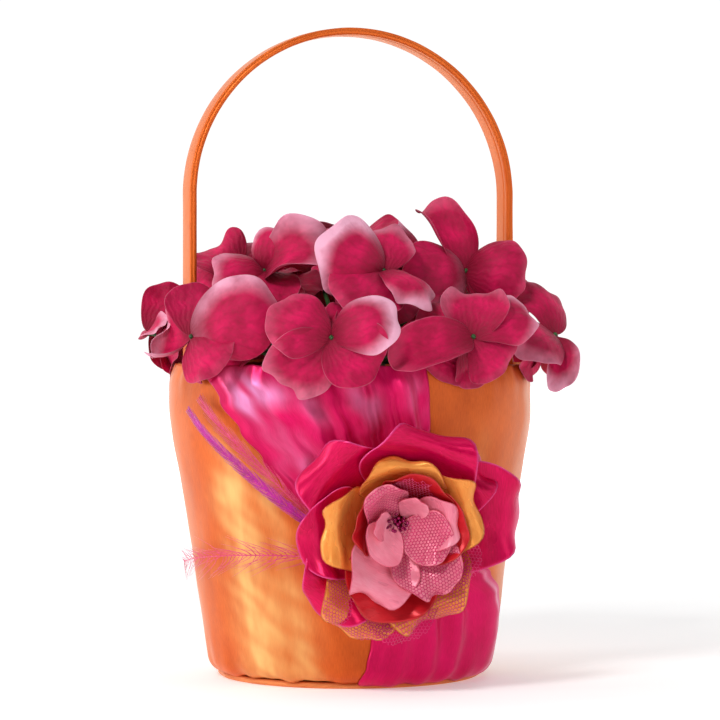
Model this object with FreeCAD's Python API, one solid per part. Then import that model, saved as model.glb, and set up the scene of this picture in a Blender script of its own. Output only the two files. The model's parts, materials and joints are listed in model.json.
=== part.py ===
"""Flower girl basket: a padded satin pail on a covered base disc, with an arched strap handle, a draped
sash, a fabric rosette with feathers, and a head of artificial hydrangea florets that lifts out.

Millimetres. The origin is the centre of the base's underside, +Z is up, the handle stands in the XZ plane
and the rosette faces -Y."""

import FreeCAD, Part
import math
import os
from FreeCAD import Placement, Rotation, Vector

# ---- driving dimensions ----
RIM_HEIGHT = 111.5          # top of the padded wall
MOUTH_RADIUS = 64.4         # widest radius of the covered wall, just under the rim
TAPER_DEG = 8.68            # lean of the wall
UPRIGHT_LOW = 99.6          # the wall stands upright between these two heights
UPRIGHT_HIGH = 103.5
BULGE_RADIUS = 60.0         # arc that turns the leaning wall upright
RIM_ARC_RADIUS = 17.0       # arc that rolls the wall in to the rim
CORNER_RADIUS = 6.0         # padded corner at the foot of the wall

BASE_RADIUS = 47.0
BASE_HEIGHT = 2.1
SATIN = 0.5                 # thickness of every satin skin, glued to its backing
GAP = 0.1                   # fitting gap between two layers of the wall

BOARD = 1.5                 # card board of the pail
BOARD_FOOT = 4.0
BOARD_TOP = 108.0
BOARD_FOOT_RADIUS = 47.7
BOARD_TOP_RADIUS = 62.2
FLOOR_THICKNESS = 2.0
LINING_EASE = 3.5           # room between board and lining, where the handle's ends are tucked

HANDLE_TOP = 231.6
HANDLE_RADIUS = 58.8        # middle of the strap, from the pail's axis
HANDLE_WIDTH = 13.0
HANDLE_THICKNESS = 2.6
CORE_WIDTH = 11.4
CORE_THICKNESS = 1.6
TUCK_TOP = 108.0            # below this height the strap leans with the board
TUCK_FOOT = 72.0

FOAM_TOP = 78.0
STEM_FOOT = 62.0
STEM_RADIUS = 4.0
HUB_HEIGHT = 110.0
HUB_RADIUS = 13.0

SASH_THICKNESS = 1.4
SASH_STAND_OFF = 0.25
FEATHER_THICKNESS = 0.5
ROSETTE_HEIGHT = 60.5
ROSETTE_AZIMUTH = -2.5      # from the front, towards +X

TAPER = math.radians(TAPER_DEG)
ARCH_HEIGHT = HANDLE_TOP - HANDLE_THICKNESS / 2 - HANDLE_RADIUS
BOARD_SLOPE = (BOARD_TOP_RADIUS - BOARD_FOOT_RADIUS) / (BOARD_TOP - BOARD_FOOT)


# ---- helpers ----
def in_plane(radius, height):
    """A point of a section, in the XZ plane."""
    return Vector(radius, 0, height)


def on_circle(centre, radius, degrees):
    angle = math.radians(degrees)
    return centre + Vector(radius * math.cos(angle), 0, radius * math.sin(angle))


def arc(centre, radius, from_degrees, to_degrees):
    middle = (from_degrees + to_degrees) / 2
    return Part.Arc(
        on_circle(centre, radius, from_degrees),
        on_circle(centre, radius, middle),
        on_circle(centre, radius, to_degrees),
    ).toShape()


def line(start, end):
    return Part.LineSegment(start, end).toShape()


def closed_polygon(points):
    return Part.Face(Part.Wire(Part.makePolygon(points + [points[0]])))


def turned(face):
    """A section turned all the way round the pail's axis."""
    return face.revolve(Vector(0, 0, 0), Vector(0, 0, 1), 360)


def ring(inner, outer, low, high):
    section = [in_plane(inner, low), in_plane(outer, low), in_plane(outer, high), in_plane(inner, high)]
    return turned(closed_polygon(section))


def disc(radius, low, high):
    return Part.makeCylinder(radius, high - low, Vector(0, 0, low))


def board_radius(height):
    """Outside radius of the pail's board."""
    return BOARD_FOOT_RADIUS + BOARD_SLOPE * (height - BOARD_FOOT)


def lining_radius(height):
    """Outside radius of the lining."""
    return board_radius(height) - BOARD - LINING_EASE


def save(name, shape):
    shape = shape.removeSplitter() if len(shape.Solids) == 1 else shape
    shape.exportStep("parts/" + name + ".step")


# ---- the wall's outside, at any offset ----
BULGE_CENTRE = in_plane(MOUTH_RADIUS - BULGE_RADIUS, UPRIGHT_LOW)
RIM_CENTRE = in_plane(MOUTH_RADIUS - RIM_ARC_RADIUS, UPRIGHT_HIGH)
CORNER_HEIGHT = BASE_HEIGHT + GAP + CORNER_RADIUS


def corner_centre():
    start = on_circle(BULGE_CENTRE, BULGE_RADIUS, -TAPER_DEG)
    wall_radius = start.x - math.tan(TAPER) * (start.z - CORNER_HEIGHT)
    return in_plane(wall_radius - CORNER_RADIUS / math.cos(TAPER), CORNER_HEIGHT)


CORNER_CENTRE = corner_centre()


def rim_angle(offset, height):
    """Where on the rim arc the wall reaches a height, in degrees above level."""
    return math.degrees(math.asin((height - UPRIGHT_HIGH) / (RIM_ARC_RADIUS + offset)))


def wall_solid(offset, top):
    """The whole space inside the wall's outside face, moved out by offset and cut off flat at top."""
    corner = CORNER_RADIUS + offset
    bulge = BULGE_RADIUS + offset
    rim = RIM_ARC_RADIUS + offset
    rim_end = rim_angle(offset, top)
    foot = on_circle(CORNER_CENTRE, corner, -90)
    upright_foot = on_circle(BULGE_CENTRE, bulge, 0)
    rim_tip = on_circle(RIM_CENTRE, rim, rim_end)
    edges = [
        line(in_plane(0, foot.z), foot),
        arc(CORNER_CENTRE, corner, -90, -TAPER_DEG),
        line(on_circle(CORNER_CENTRE, corner, -TAPER_DEG), on_circle(BULGE_CENTRE, bulge, -TAPER_DEG)),
        arc(BULGE_CENTRE, bulge, -TAPER_DEG, 0),
        line(upright_foot, on_circle(RIM_CENTRE, rim, 0)),
        arc(RIM_CENTRE, rim, 0, rim_end),
        line(rim_tip, in_plane(0, rim_tip.z)),
        line(in_plane(0, rim_tip.z), in_plane(0, foot.z)),
    ]
    return turned(Part.Face(Part.Wire(edges)))


def wall_radius(height):
    """Outside radius of the covered wall at a height on its leaning part."""
    start = on_circle(BULGE_CENTRE, BULGE_RADIUS, -TAPER_DEG)
    return start.x - math.tan(TAPER) * (start.z - height)


def wall_patch(outline, azimuth_deg, inner_offset, outer_offset):
    """A piece of cloth that lies along the wall. outline is its (across, height) shape, seen square on
    from azimuth_deg, which turns from -Y towards +X."""
    depth = 2 * MOUTH_RADIUS
    face = closed_polygon([Vector(across, 0, height) for across, height in outline])
    block = face.extrude(Vector(0, -depth, 0))
    block.rotate(Vector(0, 0, 0), Vector(0, 0, 1), azimuth_deg)
    top = RIM_HEIGHT
    layer = wall_solid(outer_offset, top).cut(wall_solid(inner_offset, top + 1))
    return layer.common(block)


# ---- the pail ----
def make_pail():
    board_outside = [
        in_plane(board_radius(BOARD_FOOT) - BOARD, BOARD_FOOT),
        in_plane(board_radius(BOARD_FOOT), BOARD_FOOT),
        in_plane(board_radius(BOARD_TOP), BOARD_TOP),
        in_plane(board_radius(BOARD_TOP) - BOARD, BOARD_TOP),
    ]
    save("pail_shell", turned(closed_polygon(board_outside)))

    floor_low = BASE_HEIGHT + GAP + SATIN + GAP
    floor_high = floor_low + FLOOR_THICKNESS
    floor_radius = board_radius(BOARD_FOOT) - BOARD - GAP
    save("pail_floor", disc(floor_radius, floor_low, floor_high))

    padding_top = RIM_HEIGHT - 2
    padding_foot = floor_high
    board_space = turned(
        closed_polygon(
            [
                in_plane(0, 0),
                in_plane(board_radius(0) + GAP, 0),
                in_plane(board_radius(RIM_HEIGHT) + GAP, RIM_HEIGHT),
                in_plane(0, RIM_HEIGHT),
            ]
        )
    )
    padding = wall_solid(-SATIN - GAP, padding_top).cut(board_space)
    save("wall_padding", padding.cut(disc(MOUTH_RADIUS, -1, padding_foot)))

    skin = wall_solid(0, RIM_HEIGHT).cut(wall_solid(-SATIN, RIM_HEIGHT + 0.5))
    turned_under = 38.0
    save("outer_cover", skin.cut(disc(turned_under, 0, BASE_HEIGHT + 2)))

    lining_foot = floor_high + GAP
    lining_top = RIM_HEIGHT - 1.9
    sleeve = turned(
        closed_polygon(
            [
                in_plane(lining_radius(lining_foot) - SATIN, lining_foot),
                in_plane(lining_radius(lining_foot), lining_foot),
                in_plane(lining_radius(lining_top), lining_top),
                in_plane(lining_radius(lining_top) - SATIN, lining_top),
            ]
        )
    )
    turnover_outer = HANDLE_RADIUS + HANDLE_THICKNESS / 2
    turnover_low = lining_top - 0.01
    turnover = ring(lining_radius(lining_top) - SATIN, turnover_outer, turnover_low, turnover_low + SATIN)
    lining = sleeve.fuse(turnover)
    slot_ease = 0.4
    slot_depth = HANDLE_THICKNESS + 2 * slot_ease
    slot_width = HANDLE_WIDTH + 2 * slot_ease
    for side in (-1, 1):
        slot_middle = side * HANDLE_RADIUS
        corner = Vector(slot_middle - slot_depth / 2, -slot_width / 2, TUCK_TOP)
        lining = lining.cut(Part.makeBox(slot_depth, slot_width, RIM_HEIGHT, corner))
    save("lining", lining)
    save("lining_floor", disc(lining_radius(lining_foot) - SATIN - GAP, lining_foot, lining_foot + SATIN))

    edge_roll = 0.55
    edge_radius = on_circle(RIM_CENTRE, RIM_ARC_RADIUS - SATIN, rim_angle(-SATIN, RIM_HEIGHT)).x
    edge_height = RIM_HEIGHT - edge_roll + 0.1
    save("rim_edge", Part.makeTorus(edge_radius - edge_roll - GAP, edge_roll, Vector(0, 0, edge_height)))


def make_base():
    board_low = SATIN
    board_high = BASE_HEIGHT - SATIN
    save("base_board", disc(BASE_RADIUS - SATIN - GAP, board_low + GAP / 2, board_high - GAP / 2))
    turned_over = 36.0
    cover = disc(BASE_RADIUS, 0, BASE_HEIGHT)
    cover = cover.cut(disc(BASE_RADIUS - SATIN, board_low, board_high))
    save("base_cover", cover.cut(disc(turned_over, board_low, BASE_HEIGHT + 1)))


# ---- the handle ----
def strap_band(thickness, width, foot):
    """The strap's arch: two upright legs, a half circle over them, and ends that lean with the board."""
    half = thickness / 2
    lean_top = in_plane(HANDLE_RADIUS, TUCK_TOP)
    lean = math.atan(BOARD_SLOPE)
    drop = TUCK_TOP - foot
    lean_foot = in_plane(HANDLE_RADIUS - drop * math.tan(lean), foot)
    across = Vector(math.cos(lean), 0, -math.sin(lean))
    mitre = Vector(1, 0, -math.tan(lean / 2))
    arch = in_plane(0, ARCH_HEIGHT)

    def run(side):
        """The right leg's outside (side 1) or inside (side -1), from its foot to the arch."""
        return [
            lean_foot + across * (side * half),
            lean_top + mitre * (side * half),
            in_plane(HANDLE_RADIUS + side * half, ARCH_HEIGHT),
        ]

    def mirrored(point):
        return Vector(-point.x, 0, point.z)

    outside = run(1)
    inside = run(-1)
    edges = [
        line(outside[0], outside[1]),
        line(outside[1], outside[2]),
        arc(arch, HANDLE_RADIUS + half, 0, 180),
        line(mirrored(outside[2]), mirrored(outside[1])),
        line(mirrored(outside[1]), mirrored(outside[0])),
        line(mirrored(outside[0]), mirrored(inside[0])),
        line(mirrored(inside[0]), mirrored(inside[1])),
        line(mirrored(inside[1]), mirrored(inside[2])),
        arc(arch, HANDLE_RADIUS - half, 180, 0),
        line(inside[2], inside[1]),
        line(inside[1], inside[0]),
        line(inside[0], outside[0]),
    ]
    band = Part.Face(Part.Wire(edges)).extrude(Vector(0, width, 0))
    band.translate(Vector(0, -width / 2, 0))
    return band


def make_handle():
    save("handle_core", strap_band(CORE_THICKNESS, CORE_WIDTH, TUCK_FOOT + 1))
    sleeve_thickness = CORE_THICKNESS + 2 * GAP
    sleeve_width = CORE_WIDTH + 2 * GAP
    outside = strap_band(HANDLE_THICKNESS, HANDLE_WIDTH, TUCK_FOOT)
    save("handle_cover", outside.cut(strap_band(sleeve_thickness, sleeve_width, TUCK_FOOT - 2)))

    tack_height = 2.0
    tack_length = 10.0
    tack_depth = 2.2
    tack_low = TUCK_FOOT - tack_height - 0.6
    tack_middle = lining_radius(tack_low) + LINING_EASE / 2
    for name, side in (("handle_tack_left", -1), ("handle_tack_right", 1)):
        corner = Vector(side * tack_middle - tack_depth / 2, -tack_length / 2, tack_low)
        tack = Part.makeBox(tack_depth, tack_length, tack_height, corner)
        save(name, tack.makeFillet(0.6, tack.Edges))


# ---- the sash and the feathers ----
def make_sash():
    outline = [
        (-58, 111.4), (10, 111.4), (11, 80), (14, 62), (30, 51), (43, 41),
        (46, 28), (46, 14), (41, 3.2), (-10, 3.2), (-9, 25), (-11, 45), (-16, 60), (-30, 78), (-46, 98),
    ]
    save("sash", wall_patch(outline, 0, SASH_STAND_OFF, SASH_STAND_OFF + SASH_THICKNESS))


def feather_outline(root, bend, tip, root_width, middle_width):
    """A slim curved blade from root to tip, through bend. Each is a point (across, height)."""
    steps = 8
    left = []
    right = []
    for step in range(steps + 1):
        along = step / steps
        back = 1 - along
        across = back * back * root[0] + 2 * back * along * bend[0] + along * along * tip[0]
        height = back * back * root[1] + 2 * back * along * bend[1] + along * along * tip[1]
        run_across = 2 * back * (bend[0] - root[0]) + 2 * along * (tip[0] - bend[0])
        run_height = 2 * back * (bend[1] - root[1]) + 2 * along * (tip[1] - bend[1])
        run = math.hypot(run_across, run_height)
        half = (root_width * back + middle_width * 4 * back * along + 0.5 * along) / 2
        left.append((across - run_height / run * half, height + run_across / run * half))
        right.append((across + run_height / run * half, height - run_across / run * half))
    return left + right[::-1]


def make_feathers():
    stand_off = SASH_STAND_OFF + SASH_THICKNESS + 0.3
    layer = FEATHER_THICKNESS + 0.2
    feathers = [
        # name, azimuth it is seen from, root, bend, tip, widths at the root and past the middle, layer
        ("feather_long", -50, (21, 57), (4, 69), (-22, 97), 1.5, 3.0, 0),
        ("feather_pale", -52, (24, 62), (6, 78), (-25, 103), 1.5, 5.0, 1),
        ("feather_wispy", -66, (34, 47), (0, 52), (-36, 38), 2.0, 8.0, 0),
    ]
    for name, azimuth, root, bend, tip, root_width, middle_width, level in feathers:
        outline = feather_outline(root, bend, tip, root_width, middle_width)
        low = stand_off + level * layer
        save(name, wall_patch(outline, azimuth, low, low + FEATHER_THICKNESS))


# ---- the rosette ----
def rosette_placement():
    """The rosette's own frame: its Z is the wall's outward normal and its X is level, to the right."""
    stand_off = SASH_STAND_OFF + SASH_THICKNESS
    turn = Rotation(Vector(0, 0, 1), ROSETTE_AZIMUTH)
    outward = turn * Vector(0, -math.cos(TAPER), -math.sin(TAPER))
    wall_foot = turn * Vector(0, -wall_radius(ROSETTE_HEIGHT), ROSETTE_HEIGHT)
    foot = wall_foot + outward * (stand_off + GAP)
    along = turn * Vector(1, 0, 0)
    return Placement(foot, Rotation(along, outward.cross(along), outward, "ZXY"))


def bowl_layer(cup_radius, low, thickness, reach):
    """A round dished layer, open towards +Z, whose bottom is at low."""
    centre = Vector(0, 0, low + cup_radius)
    dish = Part.makeSphere(cup_radius, centre).cut(Part.makeSphere(cup_radius - thickness, centre))
    return dish.common(Part.makeCylinder(reach + 1, cup_radius, Vector(0, 0, low - 1)))


def petal_ring(name, count, inner, reaches, cup_radius, low, thickness, first_deg):
    """A ring of petals cut from one dished layer, side by side. Each reach is one petal's outer radius."""
    where = rosette_placement()
    layer = bowl_layer(cup_radius, low, thickness, max(reaches))
    span = 360 / count
    seam_deg = 2.5
    for index in range(count):
        reach = reaches[index % len(reaches)]
        lobe = 0.62 * reach
        wide = 2 * max(reaches)
        half = math.radians((span - seam_deg) / 2)
        wedge = closed_polygon(
            [
                Vector(0, 0, 0),
                Vector(wide, -wide * math.tan(half), 0),
                Vector(wide, wide * math.tan(half), 0),
            ]
        ).extrude(Vector(0, 0, 3 * reach))
        outline = Part.makeCylinder(lobe, 3 * reach, Vector(reach - lobe, 0, 0)).common(wedge)
        outline = outline.cut(Part.makeCylinder(inner, 3 * reach))
        outline.translate(Vector(0, 0, -reach))
        outline.rotate(Vector(0, 0, 0), Vector(0, 0, 1), first_deg + span * index)
        petal = layer.common(outline)
        petal.Placement = where
        save(name + "_" + str(index + 1), petal)


def make_rosette():
    where = rosette_placement()
    backing = Part.makeCylinder(10, 1.0)
    backing.Placement = where
    save("rosette_backing", backing)

    petal = 0.8
    # reach of each petal, going round from the first petal's direction
    petal_ring("outer_petal", 6, 5, [44, 34, 38, 34, 39, 36], 150, 1.3, petal, 14)
    petal_ring("orange_petal", 5, 5, [29, 24, 25, 41, 37], 75, 2.9, petal, 20)
    petal_ring("net_petal", 3, 5, [22, 19, 36], 62, 4.6, petal, 30)
    petal_ring("pink_petal", 5, 4, [21, 17, 16, 26, 27], 40, 6.4, petal, 9)

    bead = 1.3
    bead_ring = 2.9
    bead_height = 8.6
    beads = [Part.makeSphere(bead, Vector(0, 0, bead_height + 0.6))]
    for index in range(6):
        beads.append(Part.makeSphere(bead, on_circle(Vector(0, 0, 0), bead_ring, 60 * index)))
        flat = beads[-1].Placement.Base
        beads[-1].Placement = Placement(flat, Rotation(Vector(1, 0, 0), 90))
        beads[-1].translate(Vector(0, 0, bead_height))
    cluster = Part.makeCompound(beads)
    cluster.Placement = where
    cluster.exportStep("parts/rosette_beads.step")


# ---- the flower head ----
def floret_frames():
    """Where each floret sits: its centre, the azimuth and lift it faces, and its turn about that. Every
    other floret of a ring is turned so that its petals reach into its neighbours' notches. The lowest ring
    hangs over the rim, and leaves a gap at each leg of the handle."""
    eighth_turn = 45
    frames = [(Vector(0, 0, 155.0), 0, 90, 15)]
    for index in range(6):
        azimuth = 30 + 60 * index
        frames.append((polar(42.5, azimuth, 144.5), azimuth, 48, eighth_turn * (index % 2)))
    for index, azimuth in enumerate([27, 69, 111, 153, 207, 249, 291, 333]):
        beside_leg = index % 4 in (0, 3)
        radius = 74 if beside_leg else 70
        frames.append((polar(radius, azimuth, 122.0), azimuth, 12, eighth_turn * ((index + 1) % 2)))
    return frames


def polar(radius, azimuth_deg, height):
    angle = math.radians(azimuth_deg)
    return Vector(radius * math.cos(angle), radius * math.sin(angle), height)


def facing(azimuth_deg, lift_deg):
    """A unit vector that points away from the axis and up by lift_deg."""
    lift = math.radians(lift_deg)
    return polar(math.cos(lift), azimuth_deg, math.sin(lift))


FLORET_CUP = 36.0           # radius of the sphere that a floret's petals follow
FLORET_THICKNESS = 0.7
LOBE_RADIUS = 10.4
LOBE_OFFSET = 11.4
EYE_RADIUS = 1.2            # hole in the middle of a floret, for its stem
BEAD_RADIUS = 2.2
STEM_WIRE = 0.8


def floret_shape():
    """Four petals in one cut sheet, dished over a sphere. It faces +Z, and its middle is the origin."""
    centre = Vector(0, 0, -FLORET_CUP)
    dome = Part.makeSphere(FLORET_CUP, centre).cut(Part.makeSphere(FLORET_CUP - FLORET_THICKNESS, centre))
    tall = 24.0
    outline = Part.makeCylinder(0.6 * LOBE_OFFSET, tall, Vector(0, 0, -tall + 1))
    for quarter in range(4):
        lobe = Part.makeCylinder(LOBE_RADIUS, tall, Vector(LOBE_OFFSET, 0, -tall + 1))
        lobe.rotate(Vector(0, 0, 0), Vector(0, 0, 1), 90 * quarter)
        outline = outline.fuse(lobe)
    return dome.common(outline).cut(Part.makeCylinder(EYE_RADIUS, tall, Vector(0, 0, -tall + 1)))


def facing_placement(centre, azimuth, lift, turn):
    """Local Z faces outward, and local X points down the dome."""
    up = Vector(0, 0, 1)
    tip = Rotation(Vector(0, 1, 0), 90 - lift)
    return Placement(centre, Rotation(up, azimuth) * tip * Rotation(up, turn))


def make_flower_head():
    hub_centre = Vector(0, 0, HUB_HEIGHT)
    stem_top = HUB_HEIGHT - 5
    save("head_stem", disc(STEM_RADIUS, STEM_FOOT, stem_top))
    hub = Part.makeSphere(HUB_RADIUS, hub_centre)
    save("head_hub", hub.cut(disc(STEM_RADIUS + GAP, 0, stem_top + GAP)))

    floret = floret_shape()
    wires = []
    beads = []
    for number, (centre, azimuth, lift, turn) in enumerate(floret_frames(), 1):
        outward = facing(azimuth, lift)
        copy = floret.copy()
        copy.Placement = facing_placement(centre, azimuth, lift, turn)
        save("floret_%02d" % number, copy)
        beads.append(Part.makeSphere(BEAD_RADIUS, centre + outward * (BEAD_RADIUS - 0.2)))
        reach = (centre - hub_centre).Length
        way = (centre - hub_centre) * (1 / reach)
        start = hub_centre + way * (HUB_RADIUS + GAP)
        length = reach - HUB_RADIUS - GAP - FLORET_THICKNESS
        wires.append(Part.makeCylinder(STEM_WIRE, length, start, way))
    Part.makeCompound(wires).exportStep("parts/floret_stems.step")
    Part.makeCompound(beads).exportStep("parts/floret_beads.step")


def make_foam():
    foot = BASE_HEIGHT + FLOOR_THICKNESS + 2 * SATIN + 5 * GAP
    block = turned(
        closed_polygon(
            [
                in_plane(0, foot),
                in_plane(lining_radius(foot) - SATIN - 4 * GAP, foot),
                in_plane(lining_radius(FOAM_TOP) - SATIN - 4 * GAP, FOAM_TOP),
                in_plane(0, FOAM_TOP),
            ]
        )
    )
    bore_radius = STEM_RADIUS + 0.3
    save("foam_block", block.cut(disc(bore_radius, STEM_FOOT - 0.5, FOAM_TOP + 1)))


os.makedirs("parts", exist_ok=True)
make_pail()
make_base()
make_handle()
make_sash()
make_feathers()
make_rosette()
make_foam()
make_flower_head()
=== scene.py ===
"""The looks of the flower girl basket.

Shapes are worked out in millimetres, in the part's own frame, and become metres as each mesh is made.
An azimuth turns from the front (-Y) towards +X, in degrees."""

import json
import math
import random

import bpy
import numpy as np
from mathutils import Matrix, Vector, noise


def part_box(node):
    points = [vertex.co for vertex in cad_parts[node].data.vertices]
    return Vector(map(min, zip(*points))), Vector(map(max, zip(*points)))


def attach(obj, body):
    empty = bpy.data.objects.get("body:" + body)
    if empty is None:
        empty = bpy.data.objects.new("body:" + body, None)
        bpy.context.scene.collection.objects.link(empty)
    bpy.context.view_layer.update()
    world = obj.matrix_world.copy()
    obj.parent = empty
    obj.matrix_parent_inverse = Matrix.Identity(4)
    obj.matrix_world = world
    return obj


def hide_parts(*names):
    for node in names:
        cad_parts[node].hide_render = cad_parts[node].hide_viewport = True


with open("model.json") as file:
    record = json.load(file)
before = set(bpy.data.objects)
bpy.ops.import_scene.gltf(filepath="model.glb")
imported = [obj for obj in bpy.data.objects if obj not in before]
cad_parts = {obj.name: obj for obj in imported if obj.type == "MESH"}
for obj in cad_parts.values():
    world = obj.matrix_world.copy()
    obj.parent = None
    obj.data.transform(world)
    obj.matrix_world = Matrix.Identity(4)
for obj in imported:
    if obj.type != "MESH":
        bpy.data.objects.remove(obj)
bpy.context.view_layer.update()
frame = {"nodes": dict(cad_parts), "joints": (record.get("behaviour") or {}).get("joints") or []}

MM = 0.001
BASKET = "basket"
HEAD = "flower_head"


def node_box(node):
    """A CAD node's lowest and highest corners, in millimetres."""
    low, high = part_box(node)
    return Vector(low) / MM, Vector(high) / MM


# ---- sizes read from the frame ----
COVER_LOW, COVER_HIGH = node_box("outer_cover")
RIM_HEIGHT = COVER_HIGH.z
MOUTH_RADIUS = COVER_HIGH.x
BASE_HIGH = node_box("base_cover")[1]
BASE_RADIUS = BASE_HIGH.x
BASE_HEIGHT = BASE_HIGH.z
STRAP_LOW, STRAP_HIGH = node_box("handle_cover")
STRAP_WIDTH = STRAP_HIGH.y - STRAP_LOW.y
STRAP_THICKNESS = 2.6
STRAP_RADIUS = STRAP_HIGH.x - STRAP_THICKNESS / 2
ARCH_HEIGHT = STRAP_HIGH.z - STRAP_HIGH.x
LIFT = frame["joints"][0]["range_m"][1] / MM

# ---- the padded wall's section, as in the CAD ----
TAPER = math.radians(8.68)
UPRIGHT_LOW = 99.6          # the wall stands upright between these two heights
UPRIGHT_HIGH = 103.5
BULGE_RADIUS = 60.0         # arc that turns the leaning wall upright
RIM_ARC_RADIUS = 17.0       # arc that rolls the wall in to the rim
CORNER_RADIUS = 6.0         # padded corner at the foot of the wall
CORNER_HEIGHT = COVER_LOW.z + CORNER_RADIUS
BULGE_FOOT = UPRIGHT_LOW - BULGE_RADIUS * math.sin(TAPER)
BULGE_FOOT_RADIUS = MOUTH_RADIUS - BULGE_RADIUS * (1 - math.cos(TAPER))
CORNER_TOP = CORNER_HEIGHT - CORNER_RADIUS * math.sin(TAPER)
CORNER_MIDDLE = (
    BULGE_FOOT_RADIUS
    - math.tan(TAPER) * (BULGE_FOOT - CORNER_HEIGHT)
    - CORNER_RADIUS / math.cos(TAPER)
)
SEAM_AZIMUTH = 180.0        # the cover's seam, at the back


def clamp(value, low=0.0, high=1.0):
    return max(low, min(high, value))


def smooth(value):
    value = clamp(value)
    return value * value * (3 - 2 * value)


def mix(a, b, share):
    return a + (b - a) * share


def table_value(table, at):
    """A smooth value between the rows (place, value, ...) of a table, places rising."""
    if at <= table[0][0]:
        return table[0][1:]
    for low, high in zip(table, table[1:]):
        if at <= high[0]:
            share = smooth((at - low[0]) / (high[0] - low[0]))
            return tuple(mix(a, b, share) for a, b in zip(low[1:], high[1:]))
    return table[-1][1:]


def wall_section(height):
    """The covered wall's radius and outward normal (radial, upward) at a height."""
    if height > UPRIGHT_HIGH:
        rise = min(1.0, (height - UPRIGHT_HIGH) / RIM_ARC_RADIUS)
        run = math.sqrt(1 - rise * rise)
        return MOUTH_RADIUS - RIM_ARC_RADIUS * (1 - run), run, rise
    if height > UPRIGHT_LOW:
        return MOUTH_RADIUS, 1.0, 0.0
    if height > BULGE_FOOT:
        rise = (height - UPRIGHT_LOW) / BULGE_RADIUS
        run = math.sqrt(1 - rise * rise)
        return MOUTH_RADIUS - BULGE_RADIUS * (1 - run), run, rise
    if height > CORNER_TOP:
        radius = BULGE_FOOT_RADIUS - math.tan(TAPER) * (BULGE_FOOT - height)
        return radius, math.cos(TAPER), -math.sin(TAPER)
    rise = max(-1.0, (height - CORNER_HEIGHT) / CORNER_RADIUS)
    run = math.sqrt(1 - rise * rise)
    return CORNER_MIDDLE + CORNER_RADIUS * run, run, rise


def soft_noise(azimuth, height, size, seed=0.0):
    """Smooth noise from -1 to 1 on the wall, with features of about the given size."""
    angle = math.radians(azimuth)
    reach = MOUTH_RADIUS / size
    return noise.noise(Vector((reach * math.sin(angle), reach * math.cos(angle), height / size + seed)))


def wall_relief(azimuth, height):
    """How far the padded satin stands in or out: gathers at rim and foot, soft dents between."""
    angle = math.radians(azimuth)
    uneven = 0.6 + 0.8 * soft_noise(azimuth, 0, 30, 7.0)
    under_rim = math.exp(-((RIM_HEIGHT - height) / 5.5))
    rim_gather = (math.sin(31 * angle + 2 * uneven) + 0.6 * math.sin(53 * angle + 1.3)) * 0.42 * under_rim
    over_foot = math.exp(-max(0.0, height - BASE_HEIGHT) / 7.0)
    foot_gather = (math.sin(19 * angle + 3 * uneven) + 0.7 * math.sin(33 * angle)) * 0.5 * over_foot
    dents = 0.9 * soft_noise(azimuth, height, 34) + 0.30 * soft_noise(azimuth, height, 13, 3.0)
    seam = -0.5 * math.exp(-(((azimuth - SEAM_AZIMUTH + 180) % 360 - 180) / 0.9) ** 2)
    deepest = -0.3          # the satin never dips into the wadding under it
    return max(deepest, uneven * (rim_gather + foot_gather) + dents + seam + 0.25)


def wall_point(azimuth, height, stand_off=0.0):
    """A point on the padded satin, or a stand-off outside it."""
    radius, run, rise = wall_section(height)
    out = stand_off + wall_relief(azimuth, height)
    return round_the_axis(radius + out * run, math.radians(azimuth), height + out * rise)


def round_the_axis(radius, angle, height):
    """A point from its distance to the pail's axis, its azimuth in radians and its height."""
    return Vector((radius * math.sin(angle), -radius * math.cos(angle), height))


# ---- mesh helpers ----
def new_object(name, points, faces, uvs=None, values=None):
    """An object from points in millimetres. uvs has one pair per point, also in millimetres, and values
    gives point attributes by name."""
    mesh = bpy.data.meshes.new(name)
    mesh.from_pydata([tuple(Vector(p) * MM) for p in points], [], faces)
    for polygon in mesh.polygons:
        polygon.use_smooth = True
    if uvs is not None:
        layer = mesh.uv_layers.new(name="cloth")
        for loop in mesh.loops:
            layer.data[loop.index].uv = uvs[loop.vertex_index]
    mesh.update()
    obj = bpy.data.objects.new(name, mesh)
    bpy.context.scene.collection.objects.link(obj)
    for key, numbers in (values or {}).items():
        set_values(obj, key, numbers)
    return obj


def grid(name, columns, rows, place, size, wrap=False):
    """A sheet of quads. place(across, along) is a point for across and along from 0 to 1, and size is the
    cloth's width and length. With wrap, the last column meets the first one."""
    points = []
    uvs = []
    for row in range(rows + 1):
        for column in range(columns + 1):
            across = column / columns
            along = row / rows
            points.append(place(across, along))
            uvs.append((across * size[0], along * size[1]))
    faces = []
    for row in range(rows):
        for column in range(columns):
            a = row * (columns + 1) + column
            d = a + columns + 1
            faces.append((a, a + 1, d + 1, d))
    obj = new_object(name, points, faces, uvs)
    if wrap:
        weld(obj)
    return obj


def closed_tube(rings, around, start=0):
    """The faces of a tube whose rings of points follow each other, with both ends closed."""
    faces = []
    for ring in range(rings - 1):
        for step in range(around):
            a = start + ring * around + step
            b = start + ring * around + (step + 1) % around
            faces.append((a, b, b + around, a + around))
    last = start + (rings - 1) * around
    faces.append(tuple(range(start, start + around))[::-1])
    faces.append(tuple(range(last, last + around)))
    return faces


def set_values(obj, name, numbers):
    """Gives each point of a mesh a number, for its material to read."""
    obj.data.attributes.new(name, "FLOAT", "POINT").data.foreach_set("value", numbers)


def weld(obj):
    modifier = obj.modifiers.new("weld", "WELD")
    modifier.merge_threshold = 0.02 * MM


def thicken(obj, thickness):
    modifier = obj.modifiers.new("thickness", "SOLIDIFY")
    modifier.thickness = thickness * MM
    modifier.offset = 0.0


def subdivide(obj):
    modifier = obj.modifiers.new("subdivision", "SUBSURF")
    modifier.levels = 1
    modifier.render_levels = 1


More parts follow.
